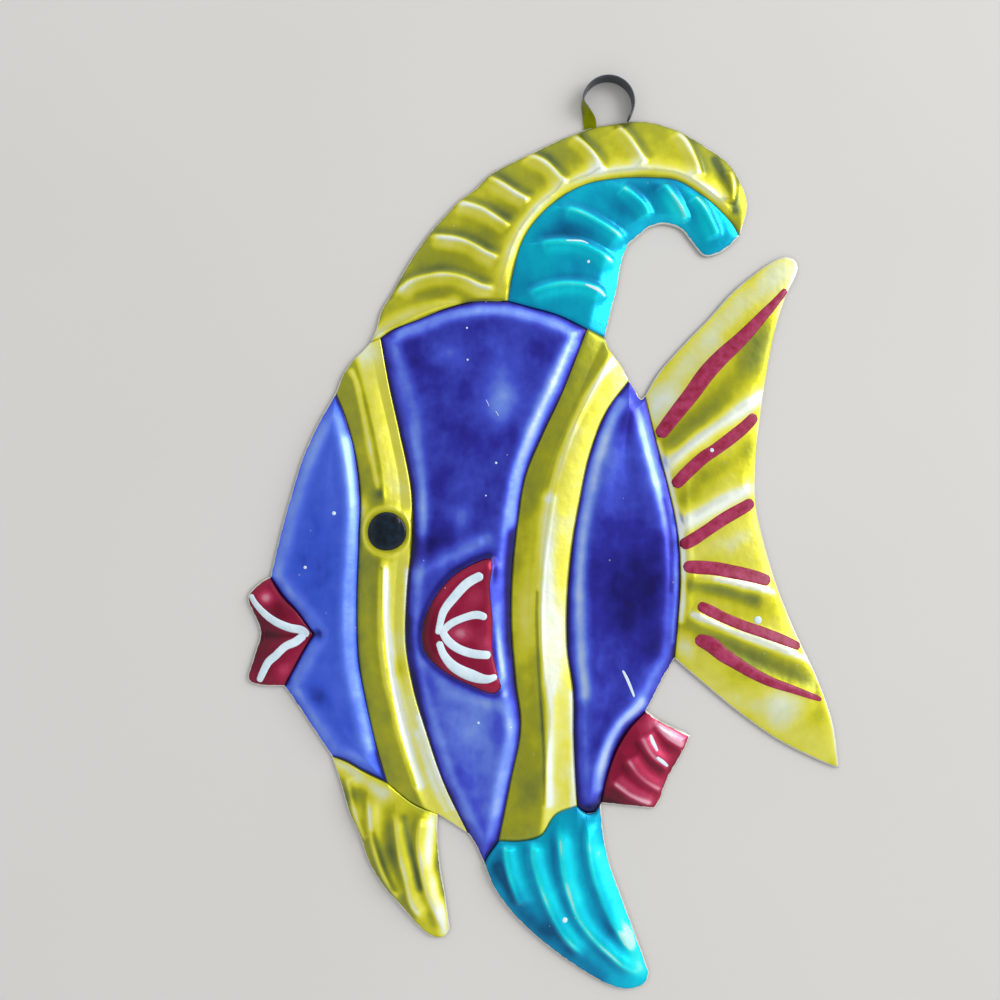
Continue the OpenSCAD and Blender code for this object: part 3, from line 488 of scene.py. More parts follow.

# Painted highlights (below 0) and painted shade (above 0), partly standing for lacquer that runs
# thin and lacquer that pools: lines, each with its half width and strength.
TINT_LINES = {
    "nose": [
        ([[-29.2, 13.9], [-28.6, 7.9], [-28, 0.4], [-28, -7], [-28.1, -13],
         [-27.8, -19.1], [-26.9, -25.1], [-25.6, -31.8]], 0.7, -0.3),
        ([[-33.2, 16.2], [-35.9, 9.4], [-38, 3.4], [-39.4, -2.5], [-40.1, -6.8]], 1, -0.22),
        ([[-36.5, -23.6], [-33.8, -28.8], [-31.3, -33.6]], 0.8, -0.15),
        ([[-33.8, -15.8], [-35.8, -18.3], [-37.4, -21.4]], 0.7, -0.2),
        ([[-34.1, -14.5], [-36.5, -10.9], [-38, -8.5]], 0.7, -0.15),
    ],
    "front_stripe": [
        ([[-28.7, 24.1], [-27.7, 21.8], [-26.2, 15], [-24.5, 6.9]], 0.45, -0.42),
        ([[-23.5, -5.5], [-23.3, -13.2], [-22.4, -21.1], [-20.8, -29.2],
         [-18.4, -37.4]], 0.6, -0.5),
        ([[-23.9, -5.1], [-23.8, -13.2], [-23, -21.1], [-21.4, -29.2],
         [-19, -37.4]], 0.22, 0.45),
        ([[-20.3, -5.5], [-20.3, -10], [-20.2, -16.1]], 0.4, -0.35),
        ([[-18.8, -29.5], [-16.7, -36.3], [-14.6, -41.2]], 0.5, -0.25),
        ([[-18.6, -27.2], [-17.4, -31.2], [-15.3, -37.3], [-13.6, -41]], 0.35, -0.4),
    ],
    "flank": [
        ([[-18.7, -5.8], [-15.5, -4], [-12.5, -2.7], [-8.6, -0.9]], 1.3, -0.3),
        ([[-21.5, 30], [-17, 32.1], [-12.2, 32.9], [-4.6, 33], [0.2, 31.9],
         [4, 30.1]], 1.1, -0.3),
        ([[4.4, 28.2], [3.1, 26.4], [-0.1, 19.3], [-2.9, 12], [-4, 5.8],
         [-4.3, 1.9]], 1.1, -0.4),
        ([[-21.5, 27.1], [-19.9, 21.4], [-18.4, 13.2], [-17.9, 7.3], [-17.9, 0.4]], 0.9, -0.27),
        ([[-17.3, -19.1], [-14.8, -22.1], [-12.7, -23.6], [-8.5, -24.9]], 1.3, -0.3),
        ([[-7.9, -5], [-7.3, -11.7], [-6.4, -19.1], [-5.9, -23.6]], 0.5, -0.5),
        ([[-4.7, -0.1], [-5.2, -6.5], [-4.9, -12.8], [-4.7, -17.6]], 0.7, 0.5),
        ([[-20.3, -12.8], [-19.1, -21.1], [-17.9, -28.1]], 0.8, 0.3),
        ([[-6.5, -25.1], [-4.7, -29.5], [-5.3, -35.5], [-7, -41.5]], 0.8, -0.2),
    ],
    "rear_stripe": [
        ([[10.3, 25.6], [8.2, 23.2], [5.2, 18.1], [2.3, 10.5], [0.7, 5]], 0.5, -0.42),
        ([[0.7, 5], [0.2, 0.4], [0.1, -5.5], [0.2, -13], [0.7, -22.1]], 1.1, -0.5),
        ([[0.7, -23.6], [0.7, -31], [0.8, -40]], 0.6, -0.45),
        ([[4.1, -23.6], [4.4, -32.5], [4.3, -40.9]], 0.4, -0.35),
        ([[-1, -8.5], [-1.1, -13], [-0.7, -22.1], [-0.1, -31], [0.1, -40]], 0.22, 0.35),
        ([[0.7, 9.4], [-2.3, -4], [-2.5, -16.1]], 1, -0.08),
    ],
    "rear_field": [
        ([[11.2, 19.6], [8.9, 14.7], [7.1, 8.8], [5.8, 2.7], [5.2, -3.3], [5.2, -10],
         [5.6, -16.8], [6.1, -23.6]], 1, -0.36),
        ([[14.5, 16.9], [16.6, 9.4], [17.8, 1.9]], 1.6, -0.2),
        ([[18.5, 7.9], [19.6, 0.4], [19.7, -7], [19.3, -16.1]], 0.45, -0.35),
        ([[17.8, 5], [18.7, -1.1], [18.8, -8.5]], 0.35, 0.3),
        ([[14.5, -25.3], [11, -28.5], [9.2, -32.2], [8.5, -37.9]], 0.9, -0.5),
        ([[17.5, -17.6], [14.5, -23.6]], 1.6, -0.12),
    ],
    "crest_yellow": [
        ([[-6.5, 35.7], [-5.6, 40.2], [-3.5, 44.7], [0.2, 49.2], [5.5, 52.4], [11.5, 54.1],
         [18.2, 54.1], [23.5, 51.9], [27.2, 48.4]], 1.7, -0.24),
        ([[-24.4, 29.8], [-21.8, 31.9], [-17.8, 33.4], [-13.3, 34.4]], 1.1, -0.36),
        ([[29.2, 51.4], [30.1, 47.7], [29.5, 45.1]], 0.5, -0.2),
        ([[25.6, 55.6], [26.9, 52.9], [28, 49.9], [28.4, 48.1]], 0.7, 0.5),
    ],
    "front_fin": [
        ([[-16.6, -42.3], [-17, -47.5], [-16.4, -52], [-15.4, -55.8],
         [-14.8, -59.5]], 0.8, -0.5),
        ([[-20.8, -42.3], [-19.7, -47.5], [-18.4, -52.8]], 0.5, 0.3),
        ([[-25.4, -44.5], [-23.9, -49], [-22.4, -52.8]], 0.5, 0.35),
        ([[-30.8, -34.2], [-28.7, -35.2], [-26.6, -36.8], [-23.9, -38.6]], 1.3, -0.46),
    ],
    "anal_fin": [
        ([[8.8, -47.5], [10.9, -53.5], [13.3, -60.3], [14.5, -64.8]], 1.5, -0.35),
        ([[-7, -49.8], [-2.8, -56.5], [2.5, -61.8], [8.5, -66.3]], 1.5, 0.25),
        ([[6.7, -47.5], [8.5, -53.5], [10.3, -58.8]], 0.7, 0.15),
    ],
    "crest_turquoise": [
        ([[10.1, 35.7], [10.4, 37.9], [11.8, 41.7]], 0.8, -0.2),
        ([[25.7, 49.2], [28, 45.8]], 1.4, -0.25),
        ([[-0.5, 43.9], [4.7, 45.1], [10, 43.9]], 1.6, 0.2),
    ],
    "rear_fin": [
        ([[16.3, -28.3], [20.5, -31.2]], 1.3, -0.35),
        ([[9.7, -40.4], [14.5, -41.5]], 0.8, 0.3),
    ],
    "tail": [
        ([[16.3, 17.6], [19, 22.1], [22.4, 26.6], [26.5, 31], [30.5, 35.1],
         [35.5, 39]], 2.2, -0.26),
        ([[19.4, 13.5], [23.5, 17.6], [27.5, 21.6], [30.5, 25.5], [32.9, 30]], 2.2, 0.28),
        ([[20.5, 5], [23.9, 8.5], [28, 10.9], [31, 13]], 1.5, 0.2),
        ([[22, -3], [26, -1.9], [29.9, -0.4]], 1.8, -0.15),
        ([[21.8, -7.5], [25.4, -8.1], [28.7, -9], [31.3, -9.8]], 1.2, 0.36),
        ([[25.4, -6.8], [29.5, -7.5], [34.3, -8.8]], 0.35, -0.5),
        ([[22, -12], [24.7, -13], [28, -14.5], [32, -16.1], [35.9, -17.4],
         [39.4, -18.9]], 0.42, -0.45),
        ([[22, -13.9], [26.2, -16.1], [31, -18.4], [35.9, -20.7], [40.6, -22.8]], 2.1, 0.36),
        ([[23, -20.8], [29, -25.1], [35.9, -29.2], [41.9, -31.9]], 2.4, -0.08),
        ([[16.9, 13.5], [18.9, 6.8], [20.3, -0.2], [20.7, -7.1], [20.4, -13]], 0.4, -0.5),
        ([[18.5, 9.8], [22.7, 13.6], [27.9, 17.2], [32.6, 20.2]], 1, -0.26),
        ([[20, 0.6], [23.5, 2.4], [27.9, 4.9], [31.4, 6.7]], 1, -0.28),
    ],
}

# Soft patches of the same kind: place, two radii and strength. They add to the tone.
TINT_PATCHES = {
    "nose": [(-34.1, -24.4, 2.4, 2.4, 0.2), (-33.8, -4, 3, 7, 0.07)],
    "front_stripe": [(-26.5, 26.8, 1.8, 1.6, -0.25), (-20.2, -27.3, 2, 6, -0.1),
        (-21.4, -19.8, 1.3, 2, 0.3), (-24.1, 6, 1.2, 1.2, 0.25), (-26.8, 2.4, 0.8, 2.6, -0.5)],
    "flank": [(-6.4, 19.3, 2.8, 4, -0.42), (-20, 24.9, 2.6, 2.6, 0.12),
        (-12.4, 2.4, 1.5, 1.9, -0.3), (-14.5, 27.3, 2, 1.6, -0.12), (-11, 13.2, 2.6, 3.4, 0.08),
        (-14.3, 25.8, 2, 1.5, -0.12), (-18.4, -2.1, 3.2, 3, 0.3), (-8.8, -33.3, 5, 8, -0.3),
        (-13.3, -28.1, 4, 5, -0.22)],
    "rear_stripe": [(-2.8, -13, 2, 11, -0.24), (1.7, -16.1, 1.6, 6, -0.4)],
    "rear_field": [(13.4, -8.8, 5.6, 6.5, 0.22), (10.3, 9.4, 2.4, 7, -0.2),
        (13, 17.8, 1.8, 3, 0.25), (5.6, -10, 1, 12, -0.15), (16.3, -17.2, 1.8, 2.2, 0.2),
        (16.3, 19.3, 2.2, 4, -0.05)],
    "crest_yellow": [(-25, 28.9, 1.2, 1.6, -0.3), (-11, 42.4, 2, 2, 0.12),
        (-3.5, 47.7, 2, 2, 0.12), (16.7, 55.9, 2, 2, -0.1)],
    "front_fin": [(-28.3, -39, 1.8, 1.6, 0.4), (-23.3, -47.5, 1.4, 3, 0.25),
        (-16.1, -49.4, 1.2, 2, 0.35), (-15.5, -54, 1, 2, 0.3)],
    "anal_fin": [(12.5, -60.3, 1.1, 1.6, -0.4), (-7, -50.2, 1.6, 2.2, 0.2),
        (1.4, -59.2, 2.6, 1.8, 0.17), (9.1, -59.2, 1.2, 2.4, 0.17), (1.7, -48.3, 1, 3, 0.15)],
    "crest_turquoise": [(4, 45.8, 3, 2.2, 0.16), (11.8, 48.1, 2.2, 1.8, 0.22),
        (16.3, 51.1, 1.6, 1.3, 0.22), (23.5, 47.7, 2, 2, 0.16)],
    "rear_fin": [(10, -39.8, 2, 1.6, 0.25)],
    "lips": [(-41.3, -9.6, 1.3, 1.1, -0.55), (-39.1, -20.2, 1.3, 1.3, -0.25),
        (-42.2, -16.1, 2.4, 4, 0.3), (-39.5, -13, 2.4, 3, 0.12)],
    "tail": [(35.8, -25.9, 3, 2.8, -0.28), (28.7, -25.1, 3.4, 3, -0.12),
        (21.1, -16.8, 1.6, 2.6, -0.2), (18.7, 19.8, 2, 2, -0.15)],
}

# The lacquer's tone on the flat ground of each ribbed field, where it isn't the common one.
COMMON_TONE = 0.6
PANEL_TONE = {"anal_fin": 0.56, "crest_turquoise": 0.56, "crest_yellow": 0.66, "tail": 0.46,
              "rear_fin": 0.55}


def tent(v):
    """A straight slope up from each side to the middle."""
    return 1 - np.abs(2 * v - 1)


def depth_of_tone(name, x, y, v, edge, cut, thin):
    """How deep the tone lies: 0 pale, 1 dark. It stands partly for lacquer that is thin and pale
    on the ribs and pooled and dark in hollows, and partly for painted highlights and painted
    shade.

    A stripe has painted shade before its ridge and a paler painted highlight behind. A blue field
    is darkest along its seams, painted shade partly with pooled lacquer, and paler on its
    shoulder as a painted highlight. A ribbed field takes its ribs' tone, more in some places than
    in others, with painted shade along its border, and the tail is pale along its rear edge. The
    listed lines and patches of painted highlight and shade are added to all of them."""
    if name in STRIPES:
        # Painted shade on the slope before the ridge, which faces away from the lamp, and a
        # painted highlight on the slope behind.
        tone = 0.34 + 0.37 * smooth((0.5 - v) / 0.12 + 0.5)
    elif name in BLUE:
        # Painted shade along the seams, partly lacquer pooled in the groove, and a painted
        # highlight on the shoulder about 1.7 mm inside.
        at_seam = bump(edge, 0.45) * np.where(cut > edge + 0.05, 1, 0.3)
        pooled = (0.25 + 0.4 * unevenness(x, y, 7)) * at_seam
        tone = 0.66 + pooled - 0.2 * bump(edge - 1.7, 0.8)
    else:
        # worn only makes the ribs' painted highlight stronger in some places than in others; the
        # bump at the border is painted shade.
        worn = 0.45 + 0.75 * unevenness(x, y, 4)
        tone = PANEL_TONE.get(name, COMMON_TONE) + thin * worn + 0.2 * bump(edge, 0.3)
        tone += 0.16 * (unevenness(y, x, 6) - 0.5)
    if name == "tail":
        tone -= 0.6 * bump(distance(chain("tail_rear", 2), x, y), 0.32)
    for points, width, change in TINT_LINES.get(name, []):
        line = curve(points, 4 * (len(points) - 1))
        tone = tone + change * bump(distance(line, x, y), width)
    return tone + clouds(x, y, TINT_PATCHES.get(name, []))


def pressed(name, grid):
    """How far a field's points are raised, their tone and their distance to a cut edge.

    The height is the crown plus the pressed lines, all of it fading out at the field's border.
    A blue field stands up in a round shoulder inside its border and is a little dished."""
    x, y = grid[..., 0], grid[..., 1]
    u = np.linspace(0, 1, grid.shape[0])[:, None] + 0 * x
    v = np.linspace(0, 1, grid.shape[1])[None] + 0 * x
    edge = distance(border(name), x, y)
    cut = np.full(x.shape, FAR)
    for line in cut_lines(name):
        cut = np.minimum(cut, distance(line, x, y))
    fade = smooth(edge / SEAM_FADE)
    crown, ends, sides, lines = PRESSED[name]
    lift = crown * pillow(u, v, ends, sides)
    # thin gathers the ribs' pale tone: a painted highlight, partly standing for lacquer that runs
    # thin on them.
    thin = 0 * x
    for some, height, width, steep, change in lines:
        line, paler = ribs(x, y, some, width, steep)
        lift = lift + height * line * fade
        thin = thin + change * paler * smooth(edge / 0.6)
    tone = depth_of_tone(name, x, y, v, edge, cut, thin)
    if name in STRIPES:
        lift += STRIPE_RISE * tent(v) * np.sin(np.pi * u) ** 0.3
    if name in BLUE:
        pits = clouds(x, y, DIMPLES)
        lift = (CROWN_KEPT * lift + FIELD_SHOULDER * (1 - bump(edge, 1.3))
                - FIELD_DISH * smooth((edge - 2.2) / 4) - DIMPLE_DEPTH * pits)
        # Painted shade in the dimples, partly lacquer pooled there.
        tone += 0.28 * pits
    if name == "flank":
        deep = into(FIN_OUTLINE, x, y)
        lift += FIN_BOSS * smooth((deep + 1) / 2.4) * fade
        # Painted shade in the crease round the foot of the side fin's boss.
        tone += 0.35 * bump(deep + 0.35, 0.45)
    if name == "front_stripe":
        r = np.hypot(x - EYE[0], y - EYE[1])
        near = smooth((MOUND_R - r) / 2)
        mound = EYE_MOUND * np.sin(np.pi * v) ** 0.4 + EYE_COLLAR * bump(r - COLLAR_R, 0.45)
        lift = (1 - near) * lift + near * mound
        # A painted highlight on the eye's raised collar.
        tone = (1 - near) * tone + near * (0.66 - 0.3 * bump(r - COLLAR_R - 0.1, 0.4))
    return lift, np.clip(tone, 0, 1), cut


def slab(top, low):
    """Points and triangles of the closed body between two grids, with a wall round their rims."""
    rows, columns = top.shape[:2]
    n = rows * columns
    k = np.arange(n).reshape(rows, columns)
    a, b, c, d = (s.ravel() for s in (k[:-1, :-1], k[:-1, 1:], k[1:, :-1], k[1:, 1:]))
    skin = np.vstack([np.column_stack([a, c, d]), np.column_stack([a, d, b])])
    r = np.concatenate([k[0], k[1:, -1], k[-1, -2::-1], k[-2:0:-1, 0]])
    s = np.roll(r, -1)
    wall = np.vstack([np.column_stack([r, s, s + n]), np.column_stack([r, s + n, r + n])])
    faces = np.vstack([skin, skin[:, ::-1] + n, wall])
    return np.vstack([top.reshape(-1, 3), low.reshape(-1, 3)]), faces


def merged(points, faces):
    """Points at one place made one, and the triangles without those that shrank to a line. Gives
    the rows of the points that were kept as well."""
    _, first, same = np.unique(np.round(points, 4), axis=0, return_index=True,
                               return_inverse=True)
    faces = same.ravel()[faces]
    whole = ((faces[:, 0] != faces[:, 1]) & (faces[:, 1] != faces[:, 2])
             & (faces[:, 2] != faces[:, 0]))
    return points[first], faces[whole], first


def placed(name, data):
    """An object with its data, linked into the scene at the origin."""
    made = bpy.data.objects.new(name, data)
    bpy.context.scene.collection.objects.link(made)
    return made


def put(name, points, faces, finish, slot, stands_for=None, **measures):
    """Makes a piece of points in millimetres, with a number of each measure at every point."""
    low, high = (np.array(corner) / MM for corner in cad_box)
    points, faces, kept = merged(np.clip(points, low, high), faces)
    mesh = bpy.data.meshes.new(name)
    mesh.from_pydata((points * MM).tolist(), [], faces.tolist())
    for measure, values in measures.items():
        layer = mesh.attributes.new(measure, "FLOAT", "POINT")
        layer.data.foreach_set("value", np.asarray(values, np.float32)[kept])
    mesh.polygons.foreach_set("use_smooth", np.ones(len(faces), bool))
    mesh.materials.append(finish)
    piece = placed(name, mesh)
    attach(piece, "root")
    if stands_for:
        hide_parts(stands_for)


def height_on(grid, x, y):
    """Height of a field's surface at each point in plan. From the nearest of its points, Newton
    steps on the patch between four points find the place, whose height is their blend."""
    rows, columns = grid.shape[:2]
    stride, newton_steps, longest_step = 4, 12, 3
    coarse = grid[::stride, ::stride, :2]
    gap = ((coarse.reshape(1, -1, 2) - np.stack([x, y], -1).reshape(-1, 1, 2)) ** 2).sum(-1)
    near = gap.argmin(axis=1).reshape(x.shape)
    u = float(stride) * (near // coarse.shape[1])
    v = float(stride) * (near % coarse.shape[1])
    for _ in range(newton_steps):
        i = np.clip(u.astype(int), 0, rows - 2)
        j = np.clip(v.astype(int), 0, columns - 2)
        fu, fv = (u - i)[..., None], (v - j)[..., None]
        a, b, c, d = grid[i, j], grid[i, j + 1], grid[i + 1, j], grid[i + 1, j + 1]
        p = (1 - fu) * ((1 - fv) * a + fv * b) + fu * ((1 - fv) * c + fv * d)
        pu = (1 - fv) * (c - a) + fv * (d - b)
        pv = (1 - fu) * (b - a) + fu * (d - c)
        rx, ry = x - p[..., 0], y - p[..., 1]
        det = pu[..., 0] * pv[..., 1] - pv[..., 0] * pu[..., 1]
        det = np.where(np.abs(det) < 1e-9, 1e-9, det)
        du = (rx * pv[..., 1] - ry * pv[..., 0]) / det
        dv = (ry * pu[..., 0] - rx * pu[..., 1]) / det
        u = np.clip(u + np.clip(du, -longest_step, longest_step), 0, rows - 1)
        v = np.clip(v + np.clip(dv, -longest_step, longest_step), 0, columns - 1)
    return p[..., 2]


def tube(rings):
    """Points and triangles of a closed tube through rings, whose first and last are points."""
    rows, round_ = rings.shape[:2]
    k = np.arange(rows * round_).reshape(rows, round_)
    a, b = k[:-1], np.roll(k[:-1], -1, axis=1)
    c, d = k[1:], np.roll(k[1:], -1, axis=1)
    a, b, c, d = (s.ravel() for s in (a, b, c, d))
    faces = np.vstack([np.column_stack([a, b, d]), np.column_stack([a, d, c])])
    return rings.reshape(-1, 3), faces


def course(line):
    """The length that a line in plan has run at each of its points, and its direction there."""
    steps = np.r_[0, np.cumsum(np.hypot(*np.diff(line, axis=0).T))]
    along = np.gradient(line, axis=0)
    return steps, along / np.hypot(along[:, 0], along[:, 1])[:, None]


def brushed(points, grid, base, tall=STROKE):
    """A stroke of thick enamel along points with their widths, laid on a field. Its section is a
    low arch, lower where it narrows, and its width ends in a half circle."""
    line = curve(points, 10 * (len(points) - 1))
    steps, along = course(line[:, :2])
    half = line[:, 2] / 2
    reach = np.minimum(steps, steps[-1] - steps) / half
    half = half * np.sqrt(np.clip(1 - (1 - np.clip(reach, 0, 1)) ** 2, 0, 1))
    turn = np.linspace(0, 2 * np.pi, 16, endpoint=False)[None]
    out = np.cos(turn) * half[:, None]
    x = line[:, :1] - along[:, 1:] * out
    y = line[:, 1:2] + along[:, :1] * out
    rise = tall * np.clip(np.sin(turn), 0, 1) ** 0.6
    rise = rise * np.clip(half / half.max() * 1.6, 0, 1)[:, None]
    z = height_on(grid, x, y) + base + rise
    return tube(np.stack([x, y, z], -1)[:, ::-1])


def gathered(bodies):
    """Several bodies as one list of points and one of triangles."""
    points, faces, n = [], [], 0
    for p, f in bodies:
        points.append(p)
        faces.append(f + n)
        n += len(p)
    return np.vstack(points), np.vstack(faces)


def embossed(name, finer):
    """A field's flat grid with its pressed height added, its tone and its distance to a cut."""
    grid = flat_field(name, finer)
    lift, tone, cut = pressed(name, grid)
    grid[..., 2] += lift
    return grid, tone, cut


def raised(grid, height):
    """The same grid, higher by so many millimetres."""
    return grid + np.array([0, 0, height])


def tin_sheet_body():
    """The bare sheet: every field's slab, whose walls are left out where another field goes on.
    Those walls stand on a raised seam, and only a cut edge lies at height 0 all along."""
    bodies = []
    for name in FIELDS:
        grid = embossed(name, SHEET_FINER)[0]
        points, faces = slab(raised(grid, SHEET), grid)
        height = np.tile(points[len(points) // 2:, 2], 2)
        rim = 2 * (grid.shape[0] + grid.shape[1]) - 4
        walls = faces[-2 * rim:]
        at_cut = walls[(height[walls] == 0).all(axis=1)]
        bodies.append((points, np.vstack([faces[:-len(walls)], at_cut])))
    return gathered(bodies)


def side_fin_body(grid):
    """The red side fin: rays from its middle to its outline, with its top rounded down like an
    ellipse over the outer eighth of each ray."""
    share = np.r_[0, np.linspace(0.12, 0.88, 10), 0.94, 0.975, 1][:, None, None]
    middle = np.array([-11.7, -13.8])
    plan = middle + share * (FIN_OUTLINE - middle)[None]
    z = height_on(grid, plan[..., 0], plan[..., 1]) + ON_COAT
    thick = STROKE * np.sqrt(1 - np.clip((share[..., 0] - 0.88) / 0.12, 0, 1) ** 2)
    top = np.dstack([plan, z + thick])
    low = np.dstack([plan, z])
    return tube(np.vstack([top, low[::-1][1:]]))


def drop(grid, place, radius, tall, around=64):
    """A drop of enamel on a field: a half ellipsoid over a circle that is a little uneven."""
    share = np.r_[0, np.linspace(0.1, 0.9, 9), 0.96, 1][:, None]
    turn = np.linspace(0, 2 * np.pi, around, endpoint=False)[None]
    wave = 1 + 0.015 * np.cos(3 * turn + 1)
    x = place[0] + radius * share * wave * np.cos(turn)
    y = place[1] + radius * share * wave * np.sin(turn)
    z = height_on(grid, x, y) + ON_COAT
    top = np.stack([x, y, z + tall * np.sqrt(np.clip(1 - share ** 2, 0, 1)) + 0 * x], -1)
    low = np.stack([x, y, z], -1)
    return tube(np.vstack([top, low[::-1][1:]]))


# The strip of the hanging loop: where it leaves the crest's edge, the middle, radius and two end
# angles of its ring, its width and thickness, and the length over which it turns on edge.
LOOP_FOOT = np.array([6.1, 60.1])
LOOP_AT, LOOP_R, LOOP_ENDS = (9.55, 63.9), 3.78, (192, -36)
STRIP_W, STRIP_T, TWIST = 2.36, 0.28, 4.4


def loop_body():
    """A strip's rounded section carried along a path, which its outer lower edge follows: a
    short run out from the crest's edge, then most of a circle. The section turns a quarter
    about that edge as it leaves, its inner side rising. Gives the length run at each point too,
    and far more on the strip's bare back."""
    turn = np.radians(np.linspace(*LOOP_ENDS, 110))
    ring = np.column_stack([LOOP_AT[0] + LOOP_R * np.cos(turn),
                            LOOP_AT[1] + LOOP_R * np.sin(turn)])
    lead = np.linspace(0, 1, 24)[:-1, None]
    path = np.vstack([LOOP_FOOT + lead * (ring[0] - LOOP_FOOT), ring])
    steps, along = course(path)
    upright = smooth(0.14 + 0.86 * steps / TWIST)[:, None] * np.pi / 2
    inward = np.column_stack([along[:, 1], -along[:, 0]])
    section = np.linspace(0, 2 * np.pi, 24, endpoint=False)
    width = STRIP_W * (0.8 + 0.2 * smooth(steps / 4))[:, None]
    across = width / 2 * (1 + np.sign(np.cos(section)) * np.abs(np.cos(section)) ** 0.12)[None]
    deep = (STRIP_T / 2 * np.sign(np.sin(section)) * np.abs(np.sin(section)) ** 0.5)[None]
    flat = across * np.cos(upright) - deep * np.sin(upright)
    z = SHEET / 2 * np.cos(upright) + across * np.sin(upright) + deep * np.cos(upright)
    rings = np.dstack([path[:, :1] + inward[:, :1] * flat, path[:, 1:] + inward[:, 1:] * flat, z])
    caps = [np.repeat(end.mean(axis=1), len(section), axis=0)[None]
            for end in (rings[:1], rings[-1:])]
    points, faces = tube(np.vstack([caps[0], rings, caps[1]]))
    run = np.r_[steps[0], steps, steps[-1]][:, None] + np.where(deep > 0.03, 0, FAR)
    return points, faces, run.ravel()


# Materials.
def linear(text):
    """An sRGB hex colour as linear red, green, blue and alpha."""
    c = np.array([int(text[n:n + 2], 16) for n in (1, 3, 5)]) / 255
    c = np.where(c <= 0.04045, c / 12.92, ((c + 0.055) / 1.055) ** 2.4)
    return [*c.tolist(), 1.0]


def add(tree, kind, inputs=None, stops=(), **settings):
    """Adds a node with its settings, the stops of its colour ramp and its inputs. An input is a
    socket or a node to link, whose first output is meant, or a hex colour or a plain value."""
    made = tree.nodes.new("ShaderNode" + kind)
    for key, value in settings.items():
        setattr(made, key, value)
    if stops:
        band = made.color_ramp.elements
        band.remove(band[1])
        band[0].position, band[0].color = stops[0][0], linear(stops[0][1])
        for place, colour in stops[1:]:
            band.new(place).color = linear(colour)
    for key, value in (inputs or {}).items():
        if isinstance(value, bpy.types.Node):
            value = value.outputs[0]
        if isinstance(value, bpy.types.NodeSocket):
            tree.links.new(value, made.inputs[key])
        else:
            made.inputs[key].default_value = linear(value) if isinstance(value, str) else value
    return made


def per_mm(size):
    """A pattern's scale, in waves a metre, whose features are so many millimetres across."""
    return 1000 / size


def new_finish(name):
    """An empty material with its node tree and its object coordinates."""
    finish = bpy.data.materials.new(name)
    finish.use_nodes = True
    tree = finish.node_tree
    tree.nodes.clear()
    return finish, tree, add(tree, "TexCoord").outputs["Object"]


def lacquer(name, stops, metal, rough, mottle=0.22, gloss=1.0):
    """Tinted translucent lacquer, brushed by hand over bright tinplate.

    The tone of each point picks the colour, with clouds of 5.5 mm and brush streaks of 1.6 mm
    added: pale where the tin shines through a thin coat and where the tone paints a highlight,
    dark where the coat has pooled and where it paints shade. Its skin is glossy with waves of 2.4
    mm, and its very rim is worn to bare tin."""
    finish, tree, place = new_finish(name)
    tone = add(tree, "Attribute", attribute_name="tone").outputs["Fac"]
    cloudy = add(tree, "TexNoise", {"Vector": place, "Scale": per_mm(5.5), "Detail": 3,
                                    "Roughness": 0.55})
    drawn_out = add(tree, "Mapping", {"Vector": place, "Scale": (1, 0.35, 1)})
    streaky = add(tree, "TexNoise", {"Vector": drawn_out, "Scale": per_mm(1.6)})
    for pattern, strength in ((cloudy, 2 * mottle), (streaky, 0.5 * mottle)):
        change = add(tree, "Math", {0: pattern, 1: 0.5}, operation="SUBTRACT")
        tone = add(tree, "Math", {0: change, 1: strength, 2: tone}, operation="MULTIPLY_ADD")
    colour = add(tree, "ValToRGB", {"Fac": tone}, stops)
    # Dust and pin-prick flaws in the coat, about 0.2 mm across and 3.4 mm apart.
    flaws = add(tree, "TexVoronoi", {"Vector": place, "Scale": per_mm(3.4)})
    flaw = add(tree, "Math", {0: flaws, 1: 0.035}, operation="LESS_THAN")
    cover = add(tree, "Math", {0: flaw, 1: 0.55}, operation="MULTIPLY")
    dusty = add(tree, "Mix", {0: cover, 6: colour, 7: "#c9ccd8"}, data_type="RGBA")
    # Bare tin along the cut edge, about 0.2 mm wide with a ragged border.
    cut = add(tree, "Attribute", attribute_name="cut").outputs["Fac"]
    chips = add(tree, "TexNoise", {"Vector": place, "Scale": per_mm(0.9)})
    ragged = add(tree, "Math", {0: chips, 1: 0.3, 2: 0.04}, operation="MULTIPLY_ADD")
    bare = add(tree, "Math", {0: cut, 1: ragged}, operation="LESS_THAN")
    worn = add(tree, "Mix", {0: bare, 6: dusty.outputs[2], 7: "#dcdbd0"}, data_type="RGBA")
    waves = add(tree, "TexNoise", {"Vector": place, "Scale": per_mm(2.4)})
    # Orange peel is finer than a picture shows, so it is drawn 0.35 mm across.
    peel = add(tree, "TexNoise", {"Vector": place, "Scale": per_mm(0.35), "Detail": 1})
    height = add(tree, "Math", {0: peel, 1: 0.06, 2: waves}, operation="MULTIPLY_ADD")
    skin = add(tree, "Bump", {"Height": height, "Strength": 0.55, "Distance": 0.16 * MM})
    roughness = add(tree, "Math", {0: cloudy, 1: 0.16, 2: rough - 0.08},
                    operation="MULTIPLY_ADD")
    coated = add(tree, "BsdfPrincipled", {
        "Base Color": worn.outputs[2], "Metallic": metal, "Roughness": roughness,
        "Normal": skin, "Specular IOR Level": 0.3 * gloss, "Coat Weight": 0.35 * gloss,
        "Coat Roughness": 0.18, "Coat IOR": 1.5})
    add(tree, "OutputMaterial", {"Surface": coated})
    return finish


